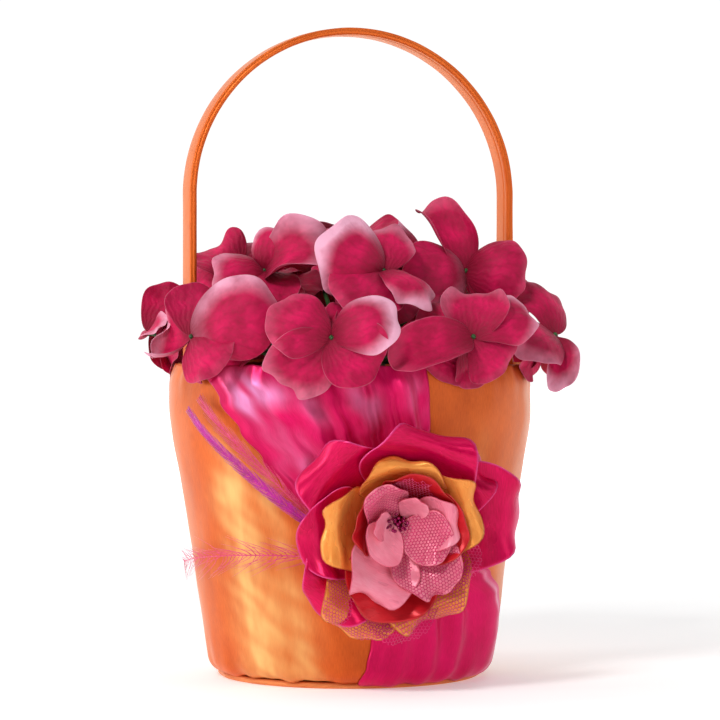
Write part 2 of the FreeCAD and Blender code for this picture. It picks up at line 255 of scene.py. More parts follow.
def finish_piece(obj, material, body, slot, replaced=()):
    """Gives a piece its material and body, and hides the CAD nodes that it stands for. slot, the name of its
    finish, is not used.
    """
    obj.data.materials.append(material)
    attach(obj, body)
    if replaced:
        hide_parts(*replaced)
    return obj


# ---- material helpers ----
class Graph:
    """Builds one material's nodes."""

    def __init__(self, name):
        self.material = bpy.data.materials.new(name)
        self.material.use_nodes = True
        self.tree = self.material.node_tree
        self.shader = self.tree.nodes["Principled BSDF"]

    def add(self, kind, inputs=None, **settings):
        node = self.tree.nodes.new("ShaderNode" + kind)
        for key, value in settings.items():
            setattr(node, key, value)
        for key, value in (inputs or {}).items():
            self.put(node.inputs[key], value)
        return node

    def put(self, socket, value):
        if isinstance(value, bpy.types.NodeSocket):
            self.tree.links.new(value, socket)
        else:
            socket.default_value = value

    def math(self, operation, first, second=0.0):
        return self.add("Math", {0: first, 1: second}, operation=operation).outputs[0]

    def blend(self, share, first, second):
        node = self.add("Mix", data_type="RGBA")
        self.put(node.inputs["Factor"], share)
        self.put(node.inputs[6], first)
        self.put(node.inputs[7], second)
        return node.outputs[2]

    def stretched(self, scale, source="UV"):
        place = self.add("TexCoord").outputs[source]
        return self.add("Mapping", {"Vector": place, "Scale": scale}).outputs[0]

    def noise(self, scale, detail=3.0, source="UV", stretch=(1, 1, 1)):
        where = self.stretched([scale * s for s in stretch], source)
        return self.add("TexNoise", {"Vector": where, "Scale": 1.0, "Detail": detail}).outputs["Fac"]

    def attribute(self, name):
        return self.add("Attribute", attribute_name=name).outputs["Fac"]

    def ramp(self, factor, low, high, from_value=0.0, to_value=1.0):
        limits = {"From Min": low, "From Max": high, "To Min": from_value, "To Max": to_value}
        return self.add("MapRange", {"Value": factor, **limits}).outputs[0]

    def bump(self, height, distance, strength=1.0, under=None):
        inputs = {"Height": height, "Distance": distance * MM, "Strength": strength}
        if under is not None:
            inputs["Normal"] = under
        return self.add("Bump", inputs).outputs[0]

    def finish(self, **sockets):
        for key, value in sockets.items():
            self.put(self.shader.inputs[key.replace("_", " ")], value)
        return self.material


def colour(red, green, blue):
    return (red, green, blue, 1.0)


def satin(name, deep, bright, gloss=0.36, metal=0.3, glint=(1, 0.85, 0.85), shine=0.4, edge=None, gold_glint_and_painted_highlight=None):
    """Satin cloth: long warp floats that catch light along the cloth, slubs, and faint cross ribs. UVs are
    in millimetres. gloss is its roughness, shine how strong its highlights are and glint their tint. edge
    colours the margin: a heat-sealed edge, and on the outer petals a painted highlight along the rolled
    margin. gold is the colour of a painted highlight, blended into the cloth's colour where the mesh's
    attribute of that name asks for it."""
    thread = 0.35
    g = Graph(name)
    floats = g.noise(1 / thread, 2.0, stretch=(1.0, 0.12, 1))
    weft = {"Vector": g.stretched((1, 1, 1)), "Scale": 0.32 / thread, "Distortion": 1.5, "Detail": 1.0}
    ribs = g.add("TexWave", weft, bands_direction="Y").outputs["Fac"]
    slub = g.noise(0.16, 3.0, stretch=(1.0, 0.35, 1))
    patches = g.noise(0.035, 2.0)
    share = g.math("ADD", g.math("MULTIPLY", floats, 0.35), g.math("MULTIPLY", slub, 0.3))
    share = g.math("ADD", share, g.math("MULTIPLY", patches, 0.35))
    tone = g.blend(g.ramp(share, 0.32, 0.68), deep, bright)
    # painted highlight: blends a highlight colour into the cloth's own colour where the mesh attribute asks
    # for it
    if gold_glint_and_painted_highlight is not None:
        tone = g.blend(g.math("MULTIPLY", g.attribute("gold_glint_and_painted_highlight"), g.ramp(slub, 0.3, 0.6, 0.6, 1.0)), tone, gold_glint_and_painted_highlight)
    # the margin's colour: a heat-sealed edge, and on the outer petals a painted highlight
    if edge is not None:
        tone = g.blend(g.ramp(g.attribute("edge"), 0.97, 1.0, 0.0, 0.8), tone, edge)
    relief = g.bump(floats, 0.05, 0.5)
    relief = g.bump(ribs, 0.03, 0.5, relief)
    relief = g.bump(slub, 0.12, 0.35, relief)
    return g.finish(
        Base_Color=tone, Roughness=g.ramp(slub, 0.3, 0.7, gloss - 0.05, gloss + 0.07), Normal=relief,
        Metallic=metal, Anisotropic=0.8, Anisotropic_Rotation=0.25,
        Tangent=g.add("Tangent", direction_type="UV_MAP", uv_map="cloth").outputs[0],
        Specular_IOR_Level=shine, Specular_Tint=colour(*glint),
        Sheen_Weight=0.04, Sheen_Roughness=0.35, Sheen_Tint=bright,
    )


def petal_cloth(name, deep, body, pale):
    """Printed petal cloth: fanned veins, a pale margin on some petals, and darker towards the eye, partly its
    own tone and partly painted shade where the petals crowd together.
    """
    behind_eye = 4.0            # the veins fan out from a point this far behind the petal's foot
    vein_count = 34.0
    g = Graph(name)
    fine = g.noise(0.9, 4.0)
    clouds = g.noise(0.11, 3.0)
    parts = g.add("SeparateXYZ", {0: g.stretched((1, 1, 1))})
    fan = g.math("DIVIDE", parts.outputs[1], g.math("ADD", parts.outputs[0], behind_eye))
    wobble = g.math("MULTIPLY", g.noise(0.25, 2.0), 0.35)
    veins = g.math("SINE", g.math("MULTIPLY", g.math("ADD", fan, wobble), vein_count))
    vein_share = g.ramp(veins, -0.2, 1.0)
    tone = g.blend(g.ramp(g.math("ADD", clouds, g.math("MULTIPLY", fine, 0.25)), 0.30, 0.85, 0.1), deep, body)
    tone = g.blend(g.math("MULTIPLY", vein_share, 0.16), tone, deep)
    streaks = g.math("MULTIPLY", g.attribute("pale"), g.ramp(clouds, 0.3, 0.62, 0.55, 1.15))
    tone = g.blend(g.ramp(streaks, 0.05, 0.95), tone, pale)
    tone = g.blend(g.ramp(g.attribute("edge"), 0.98, 1.0, 0.0, 0.16), tone, pale)
    # painted shade, partly the print's own tone: darker towards the eye, where the petals crowd together
    tone = g.blend(g.ramp(g.attribute("along"), 0.46, 0.02, 0.0, 0.88), tone, deep)
    relief = g.bump(veins, 0.12, 0.4)
    relief = g.bump(fine, 0.08, 0.4, relief)
    return g.finish(
        Base_Color=tone, Roughness=g.ramp(fine, 0.3, 0.7, 0.55, 0.75), Normal=relief,
        Specular_IOR_Level=0.25, Sheen_Weight=0.08, Sheen_Roughness=0.45, Sheen_Tint=pale,
    )


def grainy(name, low, high, scale, rough, depth, metal=0.0, sheen=0.0):
    """A plain material with a mottled colour and a fine relief. scale is in features per metre, and depth
    is the relief's in millimetres."""
    g = Graph(name)
    grain = g.noise(scale, 6.0, "Object")
    broad = g.noise(scale * 0.18, 2.0, "Object")
    share = g.ramp(g.math("ADD", g.math("MULTIPLY", grain, 0.6), g.math("MULTIPLY", broad, 0.4)), 0.35, 0.65)
    return g.finish(
        Base_Color=g.blend(share, low, high), Roughness=g.ramp(grain, 0.3, 0.7, rough - 0.08, rough + 0.08),
        Normal=g.bump(grain, depth, 0.6), Metallic=metal, Sheen_Weight=sheen, Sheen_Roughness=0.4,
    )


def make_satins():
    seal = colour(0.45, 0.03, 0.02)
    gold_glint_and_painted_highlight = (1.0, 0.72, 0.28)
    lilac = (1.0, 0.62, 0.95)
    return {
        # its last colour is a painted golden highlight, laid where the cover's attribute asks
        "orange": satin(
            "orange_satin_cloth", colour(0.56, 0.066, 0.008), colour(0.82, 0.145, 0.020), 0.36, 0.25,
            (1.0, 0.85, 0.42), 0.5, gold_glint_and_painted_highlight=colour(0.92, 0.50, 0.17),
        ),
        "handle": satin(
            "handle_satin_cloth", colour(0.60, 0.085, 0.012), colour(0.82, 0.17, 0.03), 0.36, 0.35, gold_glint_and_painted_highlight, 0.35
        ),
        "base": satin("base_satin_cloth", colour(0.74, 0.19, 0.06), colour(0.90, 0.33, 0.12), 0.4, 0.2, gold_glint_and_painted_highlight),
        "lining": satin("lining_satin_cloth", colour(0.50, 0.08, 0.015), colour(0.62, 0.13, 0.03), 0.45),
        # its last colour is a painted lilac highlight, laid on the sash's crests under the rim
        "fuchsia": satin(
            "fuchsia_satin_cloth", colour(0.54, 0.0, 0.055), colour(0.84, 0.004, 0.14), 0.33, 0.35,
            lilac, 0.3, gold_glint_and_painted_highlight=colour(0.86, 0.34, 0.66),
        ),
        # its margin colour is a painted highlight along the rolled margins
        "outer": satin(
            "outer_petal_satin", colour(0.46, 0.0, 0.03), colour(0.84, 0.003, 0.11), 0.30, 0.3, lilac, 0.3,
            edge=colour(0.90, 0.10, 0.36),
        ),
        "ember": satin(
            "orange_petal_satin", colour(0.86, 0.21, 0.03), colour(1.0, 0.42, 0.10), 0.26, 0.2, gold_glint_and_painted_highlight, 0.8,
            edge=seal,
        ),
        "coral": satin(
            "coral_petal_satin", colour(0.52, 0.004, 0.012), colour(0.74, 0.02, 0.03), 0.3, 0.2, edge=seal
        ),
        "pink": satin(
            "pink_petal_satin", colour(0.86, 0.15, 0.25), colour(0.98, 0.36, 0.46), 0.28, 0.08,
            edge=colour(0.70, 0.05, 0.12),
        ),
    }


# key, material, dark colour, light colour, features per metre, roughness, relief, metal, sheen
PLAIN_MATERIALS = [
    ("net", "net_thread", (0.60, 0.002, 0.10), (0.85, 0.02, 0.20), 900, 0.5, 0.02, 0.0, 0.3),
    ("bead", "dark_bead", (0.16, 0.0, 0.04), (0.36, 0.0, 0.10), 500, 0.2, 0.03, 0.3),
    ("purple", "purple_barb", (0.40, 0.0, 0.20), (0.66, 0.004, 0.40), 700, 0.45, 0.02, 0.0, 0.4),
    ("wisp", "pink_barb", (0.70, 0.02, 0.12), (0.86, 0.08, 0.24), 700, 0.5, 0.02, 0.0, 0.4),
    ("green", "green_wire", (0.015, 0.05, 0.01), (0.04, 0.12, 0.03), 600, 0.5, 0.05),
    ("felt", "felt_disc", (0.42, 0.0, 0.07), (0.60, 0.01, 0.12), 1500, 0.9, 0.2, 0.0, 0.5),
    ("board", "grey_board", (0.36, 0.31, 0.24), (0.48, 0.43, 0.34), 800, 0.9, 0.1),
    ("wadding", "white_wadding", (0.80, 0.79, 0.76), (0.92, 0.91, 0.89), 400, 0.95, 0.4),
    ("foam", "dry_foam", (0.05, 0.15, 0.05), (0.10, 0.24, 0.09), 1300, 0.95, 0.25),
    ("strap", "stiff_strap", (0.72, 0.71, 0.67), (0.84, 0.83, 0.80), 500, 0.6, 0.05),
]


def make_materials():
    materials = make_satins()
    materials["floret"] = petal_cloth(
        "floret_cloth", colour(0.20, 0.0, 0.016), colour(0.70, 0.003, 0.095), colour(0.90, 0.44, 0.60)
    )
    for key, name, low, high, *rest in PLAIN_MATERIALS:
        materials[key] = grainy(name, colour(*low), colour(*high), *rest)
    return materials


# ---- the covered pail ----
# Painted highlight bands, golden streaks in the cover's colour: azimuth at the foot and at the top, half
# width at each, strength
PAINTED_HIGHLIGHT_BANDS = [
    (-49, -64, 13, 4, 1.0), (-30, -52, 5, 3, 0.6), (38, 30, 5, 3, 0.3), (95, 80, 10, 4, 0.55),
    (150, 158, 7, 4, 0.5), (205, 220, 11, 5, 0.6), (262, 250, 6, 4, 0.45),
]


def painted_highlight_share(point):
    """How strongly the painted golden highlight covers a point of the wall, from 0 to 1."""
    azimuth = math.degrees(math.atan2(point.x, -point.y))
    share = clamp(point.z / RIM_HEIGHT)
    under_rim = smooth((RIM_HEIGHT - 14 - point.z) / 30)
    total = 0.0
    for foot, top, foot_half, top_half, strength in PAINTED_HIGHLIGHT_BANDS:
        middle = mix(foot, top, share) + 5 * soft_noise(azimuth, point.z, 16, 31)
        away = (azimuth - middle + 180) % 360 - 180
        half = mix(foot_half, top_half, share)
        total += strength * math.exp(-((away / half) ** 2)) * under_rim
    # slanting noise breaks the painted highlight bands up, as wrinkles would
    slant = noise.noise(Vector((azimuth / 7 + point.z / 5, point.z / 13 - azimuth / 30, 2.0)))
    return clamp(total * (0.9 + 0.65 * slant))


def make_outer_cover(materials):
    """Satin over the padded wall, tucked under at the foot and rolled in at the rim."""
    tucked = 1.0                # shares of the grid under the foot and over the rim, in millimetres of side
    rolled = 1.6
    tuck_depth = 7
    side = RIM_HEIGHT - COVER_LOW.z

    def place(across, along):
        azimuth = SEAM_AZIMUTH + 360 * across
        at = along * (tucked + side + rolled)
        if at < tucked:
            height = COVER_LOW.z
            point = wall_point(azimuth, height)
            inward = tuck_depth * (1 - at / tucked) / point.xy.length
            return point * (1 - inward) + Vector((0, 0, height * inward))
        if at < tucked + side:
            share = (at - tucked) / side
            eased = mix(share, smooth(share), 0.35)
            return wall_point(azimuth, COVER_LOW.z + eased * side)
        inward = at - tucked - side
        point = wall_point(azimuth, RIM_HEIGHT)
        drop = 0.35 * inward * inward
        flat = point.xy * (1 - inward / point.xy.length)
        return Vector((flat.x, flat.y, point.z - drop))

    cloth = (2 * math.pi * MOUTH_RADIUS, side + 8)
    obj = grid("padded_satin_cover", 384, 150, place, cloth, wrap=True)
    # painted highlight: golden bands laid into the cover's colour, the strongest at the left front
    painted_highlight_shares = [painted_highlight_share(vertex.co / MM) for vertex in obj.data.vertices]
    set_values(obj, "gold_glint_and_painted_highlight", painted_highlight_shares)
    finish_piece(obj, materials["orange"], BASKET, "orange_satin", ["outer_cover"])


def make_rim(materials):
    """The rolled satin edge of the mouth, with the small ridges that its gathering leaves."""
    ridges = 97
    low, high = node_box("rim_edge")
    half = (high.z - low.z) / 2
    radius = high.x - half
    roll = half * 1.1

    def place(across, along):
        angle = 2 * math.pi * across
        turn = 2 * math.pi * along
        azimuth = 360 * across
        fat = roll * (1 + 0.16 * math.sin(ridges * angle + turn) + 0.2 * soft_noise(azimuth, 0, 6, 11))
        lift = 0.25 * soft_noise(azimuth, 0, 17, 5)
        return round_the_axis(
            radius + fat * math.cos(turn), angle, low.z + half + lift + fat * math.sin(turn)
        )

    obj = grid("rolled_rim", 420, 12, place, (2 * math.pi * radius, 2 * math.pi * roll), wrap=True)
    finish_piece(obj, materials["base"], BASKET, "base_satin", ["rim_edge"])


def make_base(materials):
    """Satin glued over the base disc: a flat underside, a soft edge, and the turned-over top."""
    half = BASE_HEIGHT / 2
    flat = BASE_RADIUS - half
    turned_over = 36.0
    notch_azimuth = 338         # where the edge's ends meet

    def place(across, along):
        azimuth = 360 * across
        angle = math.radians(azimuth)
        pucker = 0.3 * math.sin(17 * angle + 1) + 0.25 * soft_noise(azimuth, 0, 9, 21)
        notch = 0.8 * math.exp(-((azimuth - notch_azimuth) / 2.2) ** 2)
        if along < 0.3:
            radius = flat * along / 0.3
            height = 0.0
        elif along < 0.7:
            turn = math.pi * (along - 0.3) / 0.4
            radius = flat + (half + (pucker - notch) * math.sin(turn)) * math.sin(turn)
            height = half * (1 - math.cos(turn))
        else:
            share = (along - 0.7) / 0.3
            radius = mix(flat, turned_over, share)
            height = BASE_HEIGHT - 0.3 * share
        return round_the_axis(radius, angle, height)

    obj = grid("base_disc_cover", 240, 40, place, (2 * math.pi * BASE_RADIUS, BASE_RADIUS * 1.3), wrap=True)
    finish_piece(obj, materials["base"], BASKET, "base_satin", ["base_cover"])


def make_lining(materials):
    """Gathered satin inside the pail, with its floor."""
    low, high = node_box("lining")
    floor_low, floor_high = node_box("lining_floor")
    top_radius = high.x - 2.6
    foot_radius = floor_high.x + 0.1
    turn_in = 0.94              # share of the depth where the lining turns out to the rim

    def ripple(angle, share):
        return (0.7 * math.sin(41 * angle) + 0.5 * math.sin(67 * angle + 2)) * (0.35 + 0.5 * abs(share - 0.4))

    def place(across, along):
        angle = 2 * math.pi * across
        if along > turn_in:
            share = (along - turn_in) / (1 - turn_in)
            near_leg = math.exp(-(math.cos(angle) / 0.13) ** 2)
            out = mix(high.x - 0.2, top_radius + 0.1, near_leg)
            radius = mix(top_radius - 0.5, out, share)
            height = high.z - 0.4 + 0.2 * math.sin(51 * angle) * (1 - share)
        else:
            share = along / turn_in
            radius = mix(foot_radius, top_radius, share) - 0.9 + ripple(angle, share)
            height = mix(low.z, high.z - 0.4, share)
        return round_the_axis(radius, angle, height)

    cloth = (2 * math.pi * top_radius * 1.15, high.z - low.z)
    obj = grid("gathered_lining", 480, 70, place, cloth, wrap=True)
    finish_piece(obj, materials["lining"], BASKET, "lining_satin", ["lining"])

    def floor_place(across, along):
        angle = 2 * math.pi * across
        height = floor_low.z + 0.25 + 0.2 * math.sin(23 * angle) * along * along
        return round_the_axis((foot_radius - 0.6) * along, angle, height)

    disc = grid("lining_disc", 160, 20, floor_place, (2 * math.pi * foot_radius, foot_radius), wrap=True)
    finish_piece(disc, materials["lining"], BASKET, "lining_satin", ["lining_floor"])


# ---- the handle ----
def strap_path():
    """Points along the strap's middle line, from the right tucked end to the left, with outward turns."""
    tuck_top = 108.0            # below this height the strap leans with the board
    lean = math.atan(0.1394)
    tuck_steps, leg_steps, arch_steps = 10, 24, 96
    foot_inward = (tuck_top - STRAP_LOW.z) * math.tan(lean)
    right = []
    for step in range(tuck_steps):
        share = step / tuck_steps
        height = mix(STRAP_LOW.z, tuck_top, share)
        right.append((Vector((STRAP_RADIUS - foot_inward * (1 - share), 0, height)), -lean))
    for step in range(leg_steps):
        right.append((Vector((STRAP_RADIUS, 0, mix(tuck_top, ARCH_HEIGHT, step / leg_steps))), 0.0))
    arch = []
    for step in range(arch_steps + 1):
        angle = math.pi * step / arch_steps
        middle = Vector((STRAP_RADIUS * math.cos(angle), 0, ARCH_HEIGHT + STRAP_RADIUS * math.sin(angle)))
        arch.append((middle, angle))
    left = [(Vector((-p.x, 0, p.z)), math.pi - turn) for p, turn in reversed(right)]
    return right + arch + left


def strap_section(uneven):
    """The strap's outline: (out, across), with rounded edges and a seam groove along its inner face."""
    half_width = STRAP_WIDTH / 2
    half = STRAP_THICKNESS / 2
    bend = half * 0.92
    points = []
    for step in range(9):
        turn = -math.pi / 2 + math.pi * step / 8
        points.append((half * math.sin(turn), half_width - bend + bend * math.cos(turn)))
    for share in (0.75, 0.5, 0.25, 0.0, -0.25, -0.5, -0.75):
        points.append((half * (1 + 0.10 * (1 - share * share)) + 0.06 * uneven, (half_width - bend) * share))
    for step in range(9):
        turn = math.pi / 2 + math.pi * step / 8
        pinch = 0.62 if step == 3 else 1.0
        points.append((half * pinch * math.sin(turn), -(half_width - bend) + bend * pinch * math.cos(turn)))
    seam = -0.62
    for share in (-0.8, seam - 0.05, seam, seam + 0.05, -0.3, 0.0, 0.3, 0.6, 0.85):
        depth = 0.45 if share == seam else 0.0
        points.append((-half * (1 + 0.06 * (1 - share * share)) + depth, (half_width - bend) * share))
    return points


def make_handle(materials):
    """The satin sleeve on the strap. Its UVs are one per point across, and millimetres along."""
    path = strap_path()
    count = len(strap_section(0))
    points = []
    uvs = []
    length = 0.0
    last = path[0][0]
    for middle, turn in path:
        length += (middle - last).length
        last = middle
        out = Vector((math.cos(turn), 0, math.sin(turn)))
        wave = noise.noise(Vector((length / 23, 0.3, 0)))
        wide = 1 + 0.03 * noise.noise(Vector((length / 15, 4.1, 0)))
        for step, (depth, across) in enumerate(strap_section(wave)):
            ripple = 0.07 * noise.noise(Vector((length / 5, across / 4, depth)))
            points.append(middle + out * (depth + ripple) + Vector((0, across * wide, 0)))
            uvs.append((step + 1, length))
    obj = new_object("satin_strap", points, closed_tube(len(path), count), uvs)
    subdivide(obj)
    finish_piece(obj, materials["handle"], BASKET, "handle_satin", ["handle_cover"])


# ---- the sash ----
# height, left edge azimuth, right edge azimuth
SASH_EDGES = [
    (2.4, -12.5, 63), (8, -9.5, 64), (16, -8, 63), (24, -7.5, 60), (32, -7, 54), (39, -8, 44), (45, -10, 30),
    (50, -14, 19), (56, -21, 14), (62, -29, 12.5), (70, -36.5, 11), (80, -44, 10), (90, -51.5, 9.3),
    (100, -59, 8.8), (111.4, -68, 8.2),
]
# place across the sash, half width, height at the rim, at the pinch and at the foot
UPPER_PLEATS = [
    (0.07, 0.06, 0.5, 1.6, 0), (0.24, 0.13, 1.1, 2.0, 0), (0.45, 0.07, 2.2, 3.2, 0),
    (0.57, 0.04, 1.6, 3.0, 0), (0.68, 0.06, 3.0, 3.6, 0), (0.79, 0.035, 1.6, 2.6, 0),
    (0.885, 0.055, 3.4, 2.8, 0),
]
LOWER_PLEATS = [
    (0.05, 0.05, 0, 1.8, 1.0), (0.17, 0.07, 0, 2.4, 2.0), (0.33, 0.08, 0, 2.6, 2.6),
    (0.50, 0.07, 0, 2.8, 2.2), (0.78, 0.17, 0, 3.0, 4.6),
]
PINCH_HEIGHT = 50.0         # where the rosette gathers the sash
SASH_CLOTH = (105, 135)     # the size that its weave is laid out on
# place across the sash, half width and strength of its painted highlights on the crests
PAINTED_HIGHLIGHT_CRESTS = [(0.20, 0.13, 1.0), (0.47, 0.04, 0.55), (0.70, 0.05, 0.7), (0.93, 0.04, 0.5)]


def pleat_profile(across, middle, half):
    """One soft fold: steep on its right side and slack on its left."""
    away = (across - middle) / half
    if away < 0:
        return math.exp(-0.9 * away * away)
    return math.exp(-2.6 * away * away)


def sash_stand_off(across, height):
    """How far the sash stands off the cover: its pleats, held down at the rim, the foot and the edges."""
    upper = smooth((height - PINCH_HEIGHT + 6) / 12)
    to_rim = clamp((height - PINCH_HEIGHT) / (RIM_HEIGHT - PINCH_HEIGHT))
    to_foot = clamp((PINCH_HEIGHT - height) / PINCH_HEIGHT)
    rise = 0.0
    for middle, half, rim, pinch, _ in UPPER_PLEATS:
        shift = 0.012 * math.sin(5 * to_rim + 9 * middle)
        rise += upper * pleat_profile(across + shift, middle, half) * mix(pinch, rim, to_rim ** 0.7)
    for middle, half, _, pinch, foot in LOWER_PLEATS:
        puff = math.sin(math.pi * clamp(to_foot * 0.9 + 0.12)) ** 0.6
        rise += (1 - upper) * pleat_profile(across, middle, half) * mix(pinch, foot, to_foot ** 0.8) * puff
    held = smooth((RIM_HEIGHT - height) / 7) * smooth(height / 7)
    edges = smooth(across / 0.012) * smooth((1 - across) / 0.012)
    return 0.35 + 0.55 * edges + rise * mix(0.35, 1.0, held) * edges


def painted_lilac_highlight_share(across, height):
    """Painted highlight on the sash: pale lilac patches in its colour under the rim on the crests, a few
    lower down.
    """
    crest = 0.0
    for middle, half, strength in PAINTED_HIGHLIGHT_CRESTS:
        crest += strength * math.exp(-(((across - middle) / half) ** 2))
    under_rim = math.exp(-(((height - 101) / 6.5) ** 2))
    patch = 0.5 + 1.1 * noise.noise(Vector((across * 11, height / 9, 5.0)))
    low = 0.35 * math.exp(-(((across - 0.25) / 0.12) ** 2)) * math.exp(-(((height - 76) / 14) ** 2))
    return clamp((crest * under_rim + low) * patch * 1.5, 0, 0.85)


def make_sash(materials):
    foot = SASH_EDGES[0][0]
    top = SASH_EDGES[-1][0]

    def place(across, along):
        height = mix(foot, top, along)
        left, right = table_value(SASH_EDGES, height)
        sway = 0.5 * math.sin(height / 9 + 20 * across) * math.sin(math.pi * across)
        return wall_point(mix(left, right, across) + sway, height, sash_stand_off(across, height))

    obj = grid("pleated_sash", 230, 190, place, SASH_CLOTH)
    cloth = obj.data.uv_layers["cloth"].data
    # painted highlight: pale lilac patches laid into the sash's colour
    painted_highlight_shares = [0.0] * len(obj.data.vertices)
    for loop in obj.data.loops:
        across, along = cloth[loop.index].uv
        height = mix(foot, top, along / SASH_CLOTH[1])
        painted_highlight_shares[loop.vertex_index] = painted_lilac_highlight_share(across / SASH_CLOTH[0], height)
    set_values(obj, "gold_glint_and_painted_highlight", painted_highlight_shares)
    thicken(obj, 0.35)
    finish_piece(obj, materials["fuchsia"], BASKET, "fuchsia_satin", ["sash"])


# ---- petals ----
class Petal:
    """A cut petal, (along, across) in millimetres, bent into shape. It starts at its own origin, runs
    along X and faces +Z. lift is its first slope, bend the slope it gains by its tip, roll the backward
    roll of the last stretch, all in degrees, and cup is the curvature across it. ruffle is the height of
    its margin's waves, tip how pointed it is, waist how narrow its foot is, and fold a crease along it."""

    def __init__(self, length, width, lift=0.0, bend=0.0, roll=0.0, cup=0.0, ruffle=0.0, waves=5, tip=0.0,
                 waist=0.45, seed=0, fold=0.0):
        self.length, self.width, self.cup, self.fold = length, width, cup, fold
        self.ruffle, self.waves, self.tip, self.waist, self.seed = ruffle, waves, tip, waist, seed
        self.middle = 0.52 * length
        draw = random.Random(seed)
        self.phase = [draw.uniform(0, 2 * math.pi) for _ in range(4)]
        self.spine = [(0.0, 0.0, math.radians(lift))]
        steps = 32
        along = height = 0.0
        for step in range(1, steps + 1):
            share = step / steps
            slope = math.radians(lift + bend * share - roll * smooth((share - 0.72) / 0.28))
            along += math.cos(slope) * length / steps
            height += math.sin(slope) * length / steps
            self.spine.append((along, height, slope))

    def outline(self, turn):
        """A point of the margin, turn from 0 at the tip."""
        cosine, sine = math.cos(turn), math.sin(turn)
        reach = self.length - self.middle if cosine > 0 else self.middle
        narrow = 1 - self.waist * max(0.0, -cosine) ** 1.5
        across = self.width / 2 * sine * narrow
        uneven = 1 + 0.025 * math.sin(3 * turn + self.phase[0]) + 0.02 * math.sin(5 * turn + self.phase[1])
        point = self.tip * self.length * math.exp(-(min(turn, 2 * math.pi - turn) / 0.4) ** 2)
        return self.middle + reach * cosine * uneven + point, across * uneven

    def inside(self, along, across):
        """Whether a point of the cloth lies within the margin."""
        ahead = along - self.middle
        turn = math.atan2(across / (self.width / 2), ahead / (self.length - self.middle)) % (2 * math.pi)
        edge_along, edge_across = self.outline(turn)
        return math.hypot(ahead, across) < 0.98 * math.hypot(edge_along - self.middle, edge_across)

    def point(self, along, across, edge, turn):
        """Where a point of the cloth comes to lie. edge is its share of the way to the margin."""
        share = clamp(along / self.length, 0, 1.08)
        at = min(share, 1.0) * (len(self.spine) - 1)
        low = min(int(at), len(self.spine) - 2)
        first, second = self.spine[low], self.spine[low + 1]
        x, z, slope = (mix(a, b, at - low) for a, b in zip(first, second))
        beyond = max(0.0, along - self.length)
        side, rise = across, 0.0
        if self.cup:
            side = math.sin(self.cup * across) / self.cup
            rise = (1 - math.cos(self.cup * across)) / self.cup
        rise += self.fold * abs(across) * share
        wave = math.sin(self.waves * turn + self.phase[2])
        wave += 0.5 * math.sin((self.waves + 4) * turn + self.phase[3])
        rise += self.ruffle * wave * edge ** 2.5 * share
        rise += 0.35 * self.ruffle * noise.noise(Vector((along / 9, across / 9, self.seed * 1.7)))
        out = Vector((-math.sin(slope), 0, math.cos(slope)))
        run = Vector((math.cos(slope), 0, math.sin(slope)))
        return Vector((x, side, z)) + run * beyond + out * rise

    def mesh(self, rings, spokes):
        """The petal as a disc of rings: points, faces, cloth coordinates, and each point's share of the way
        to the margin."""
        points = [self.point(self.middle, 0, 0, 0)]
        uvs = [(self.middle, 0.0)]
        edges = [0.0]
        for ring in range(1, rings + 1):
            share = (ring / rings) ** 0.85
            for spoke in range(spokes):
                turn = 2 * math.pi * spoke / spokes
                edge_along, edge_across = self.outline(turn)
                along = mix(self.middle, edge_along, share)
                across = edge_across * share
                points.append(self.point(along, across, share, turn))
                uvs.append((along, across))
                edges.append(share)
        faces = []
        for spoke in range(spokes):
            after = (spoke + 1) % spokes
            faces.append((0, 1 + spoke, 1 + after))
            for ring in range(rings - 1):
                low = 1 + ring * spokes
                faces.append((low + spoke, low + spokes + spoke, low + spokes + after, low + after))
        return points, faces, uvs, edges


def join_petals(name, placed, rings, spokes, adjust, pale=None):
    """One object from petals, each with its matrix (in millimetres). pale has, for each petal, how pale
    its margin is and the turn at which it is palest."""
    points, faces, uvs, edges, alongs, pales = [], [], [], [], [], []
    for index, (petal, matrix) in enumerate(placed):
        start = len(points)
        own_points, own_faces, own_uvs, own_edges = petal.mesh(rings, spokes)
        points += [adjust(matrix @ point) for point in own_points]
        faces += [tuple(start + i for i in face) for face in own_faces]
        uvs += own_uvs
        edges += own_edges
        strength, palest = pale[index] if pale else (0.0, 0.0)
        for (along, across), edge in zip(own_uvs, own_edges):
            alongs.append(along / petal.length)
            turn = math.atan2(across / petal.width, (along - petal.middle) / petal.length)
            side = 0.5 + 0.5 * math.cos(turn - palest)
            pales.append(strength * smooth((edge * (0.35 + 0.65 * side) - 0.3) / 0.6))
    return new_object(name, points, faces, uvs, {"edge": edges, "along": alongs, "pale": pales})


def placement(origin, along, face):
    """The matrix that puts X along one direction and Z along another, which is square to it."""
    rotation = Matrix((along, face.cross(along), face)).transposed().to_4x4()
    return Matrix.Translation(origin) @ rotation


def turned(degrees, out, up):
    """The matrix of a petal that starts a step out from the middle and up, turned round Z."""
    return Matrix.Rotation(math.radians(degrees), 4, "Z") @ Matrix.Translation(Vector((out, 0, up)))


# ---- the rosette ----
def rosette_matrix():
    """From the rosette's own frame, Z outward and Y up, to the part's frame."""
    low, high = node_box("rosette_backing")
    middle = (low + high) / 2
    azimuth = math.atan2(middle.x, -middle.y)
    lean = math.cos(TAPER)
    outward = Vector((lean * math.sin(azimuth), -lean * math.cos(azimuth), -math.sin(TAPER)))
    level = Vector((math.cos(azimuth), math.sin(azimuth), 0))
    return placement(middle - outward * 0.5, level, outward)


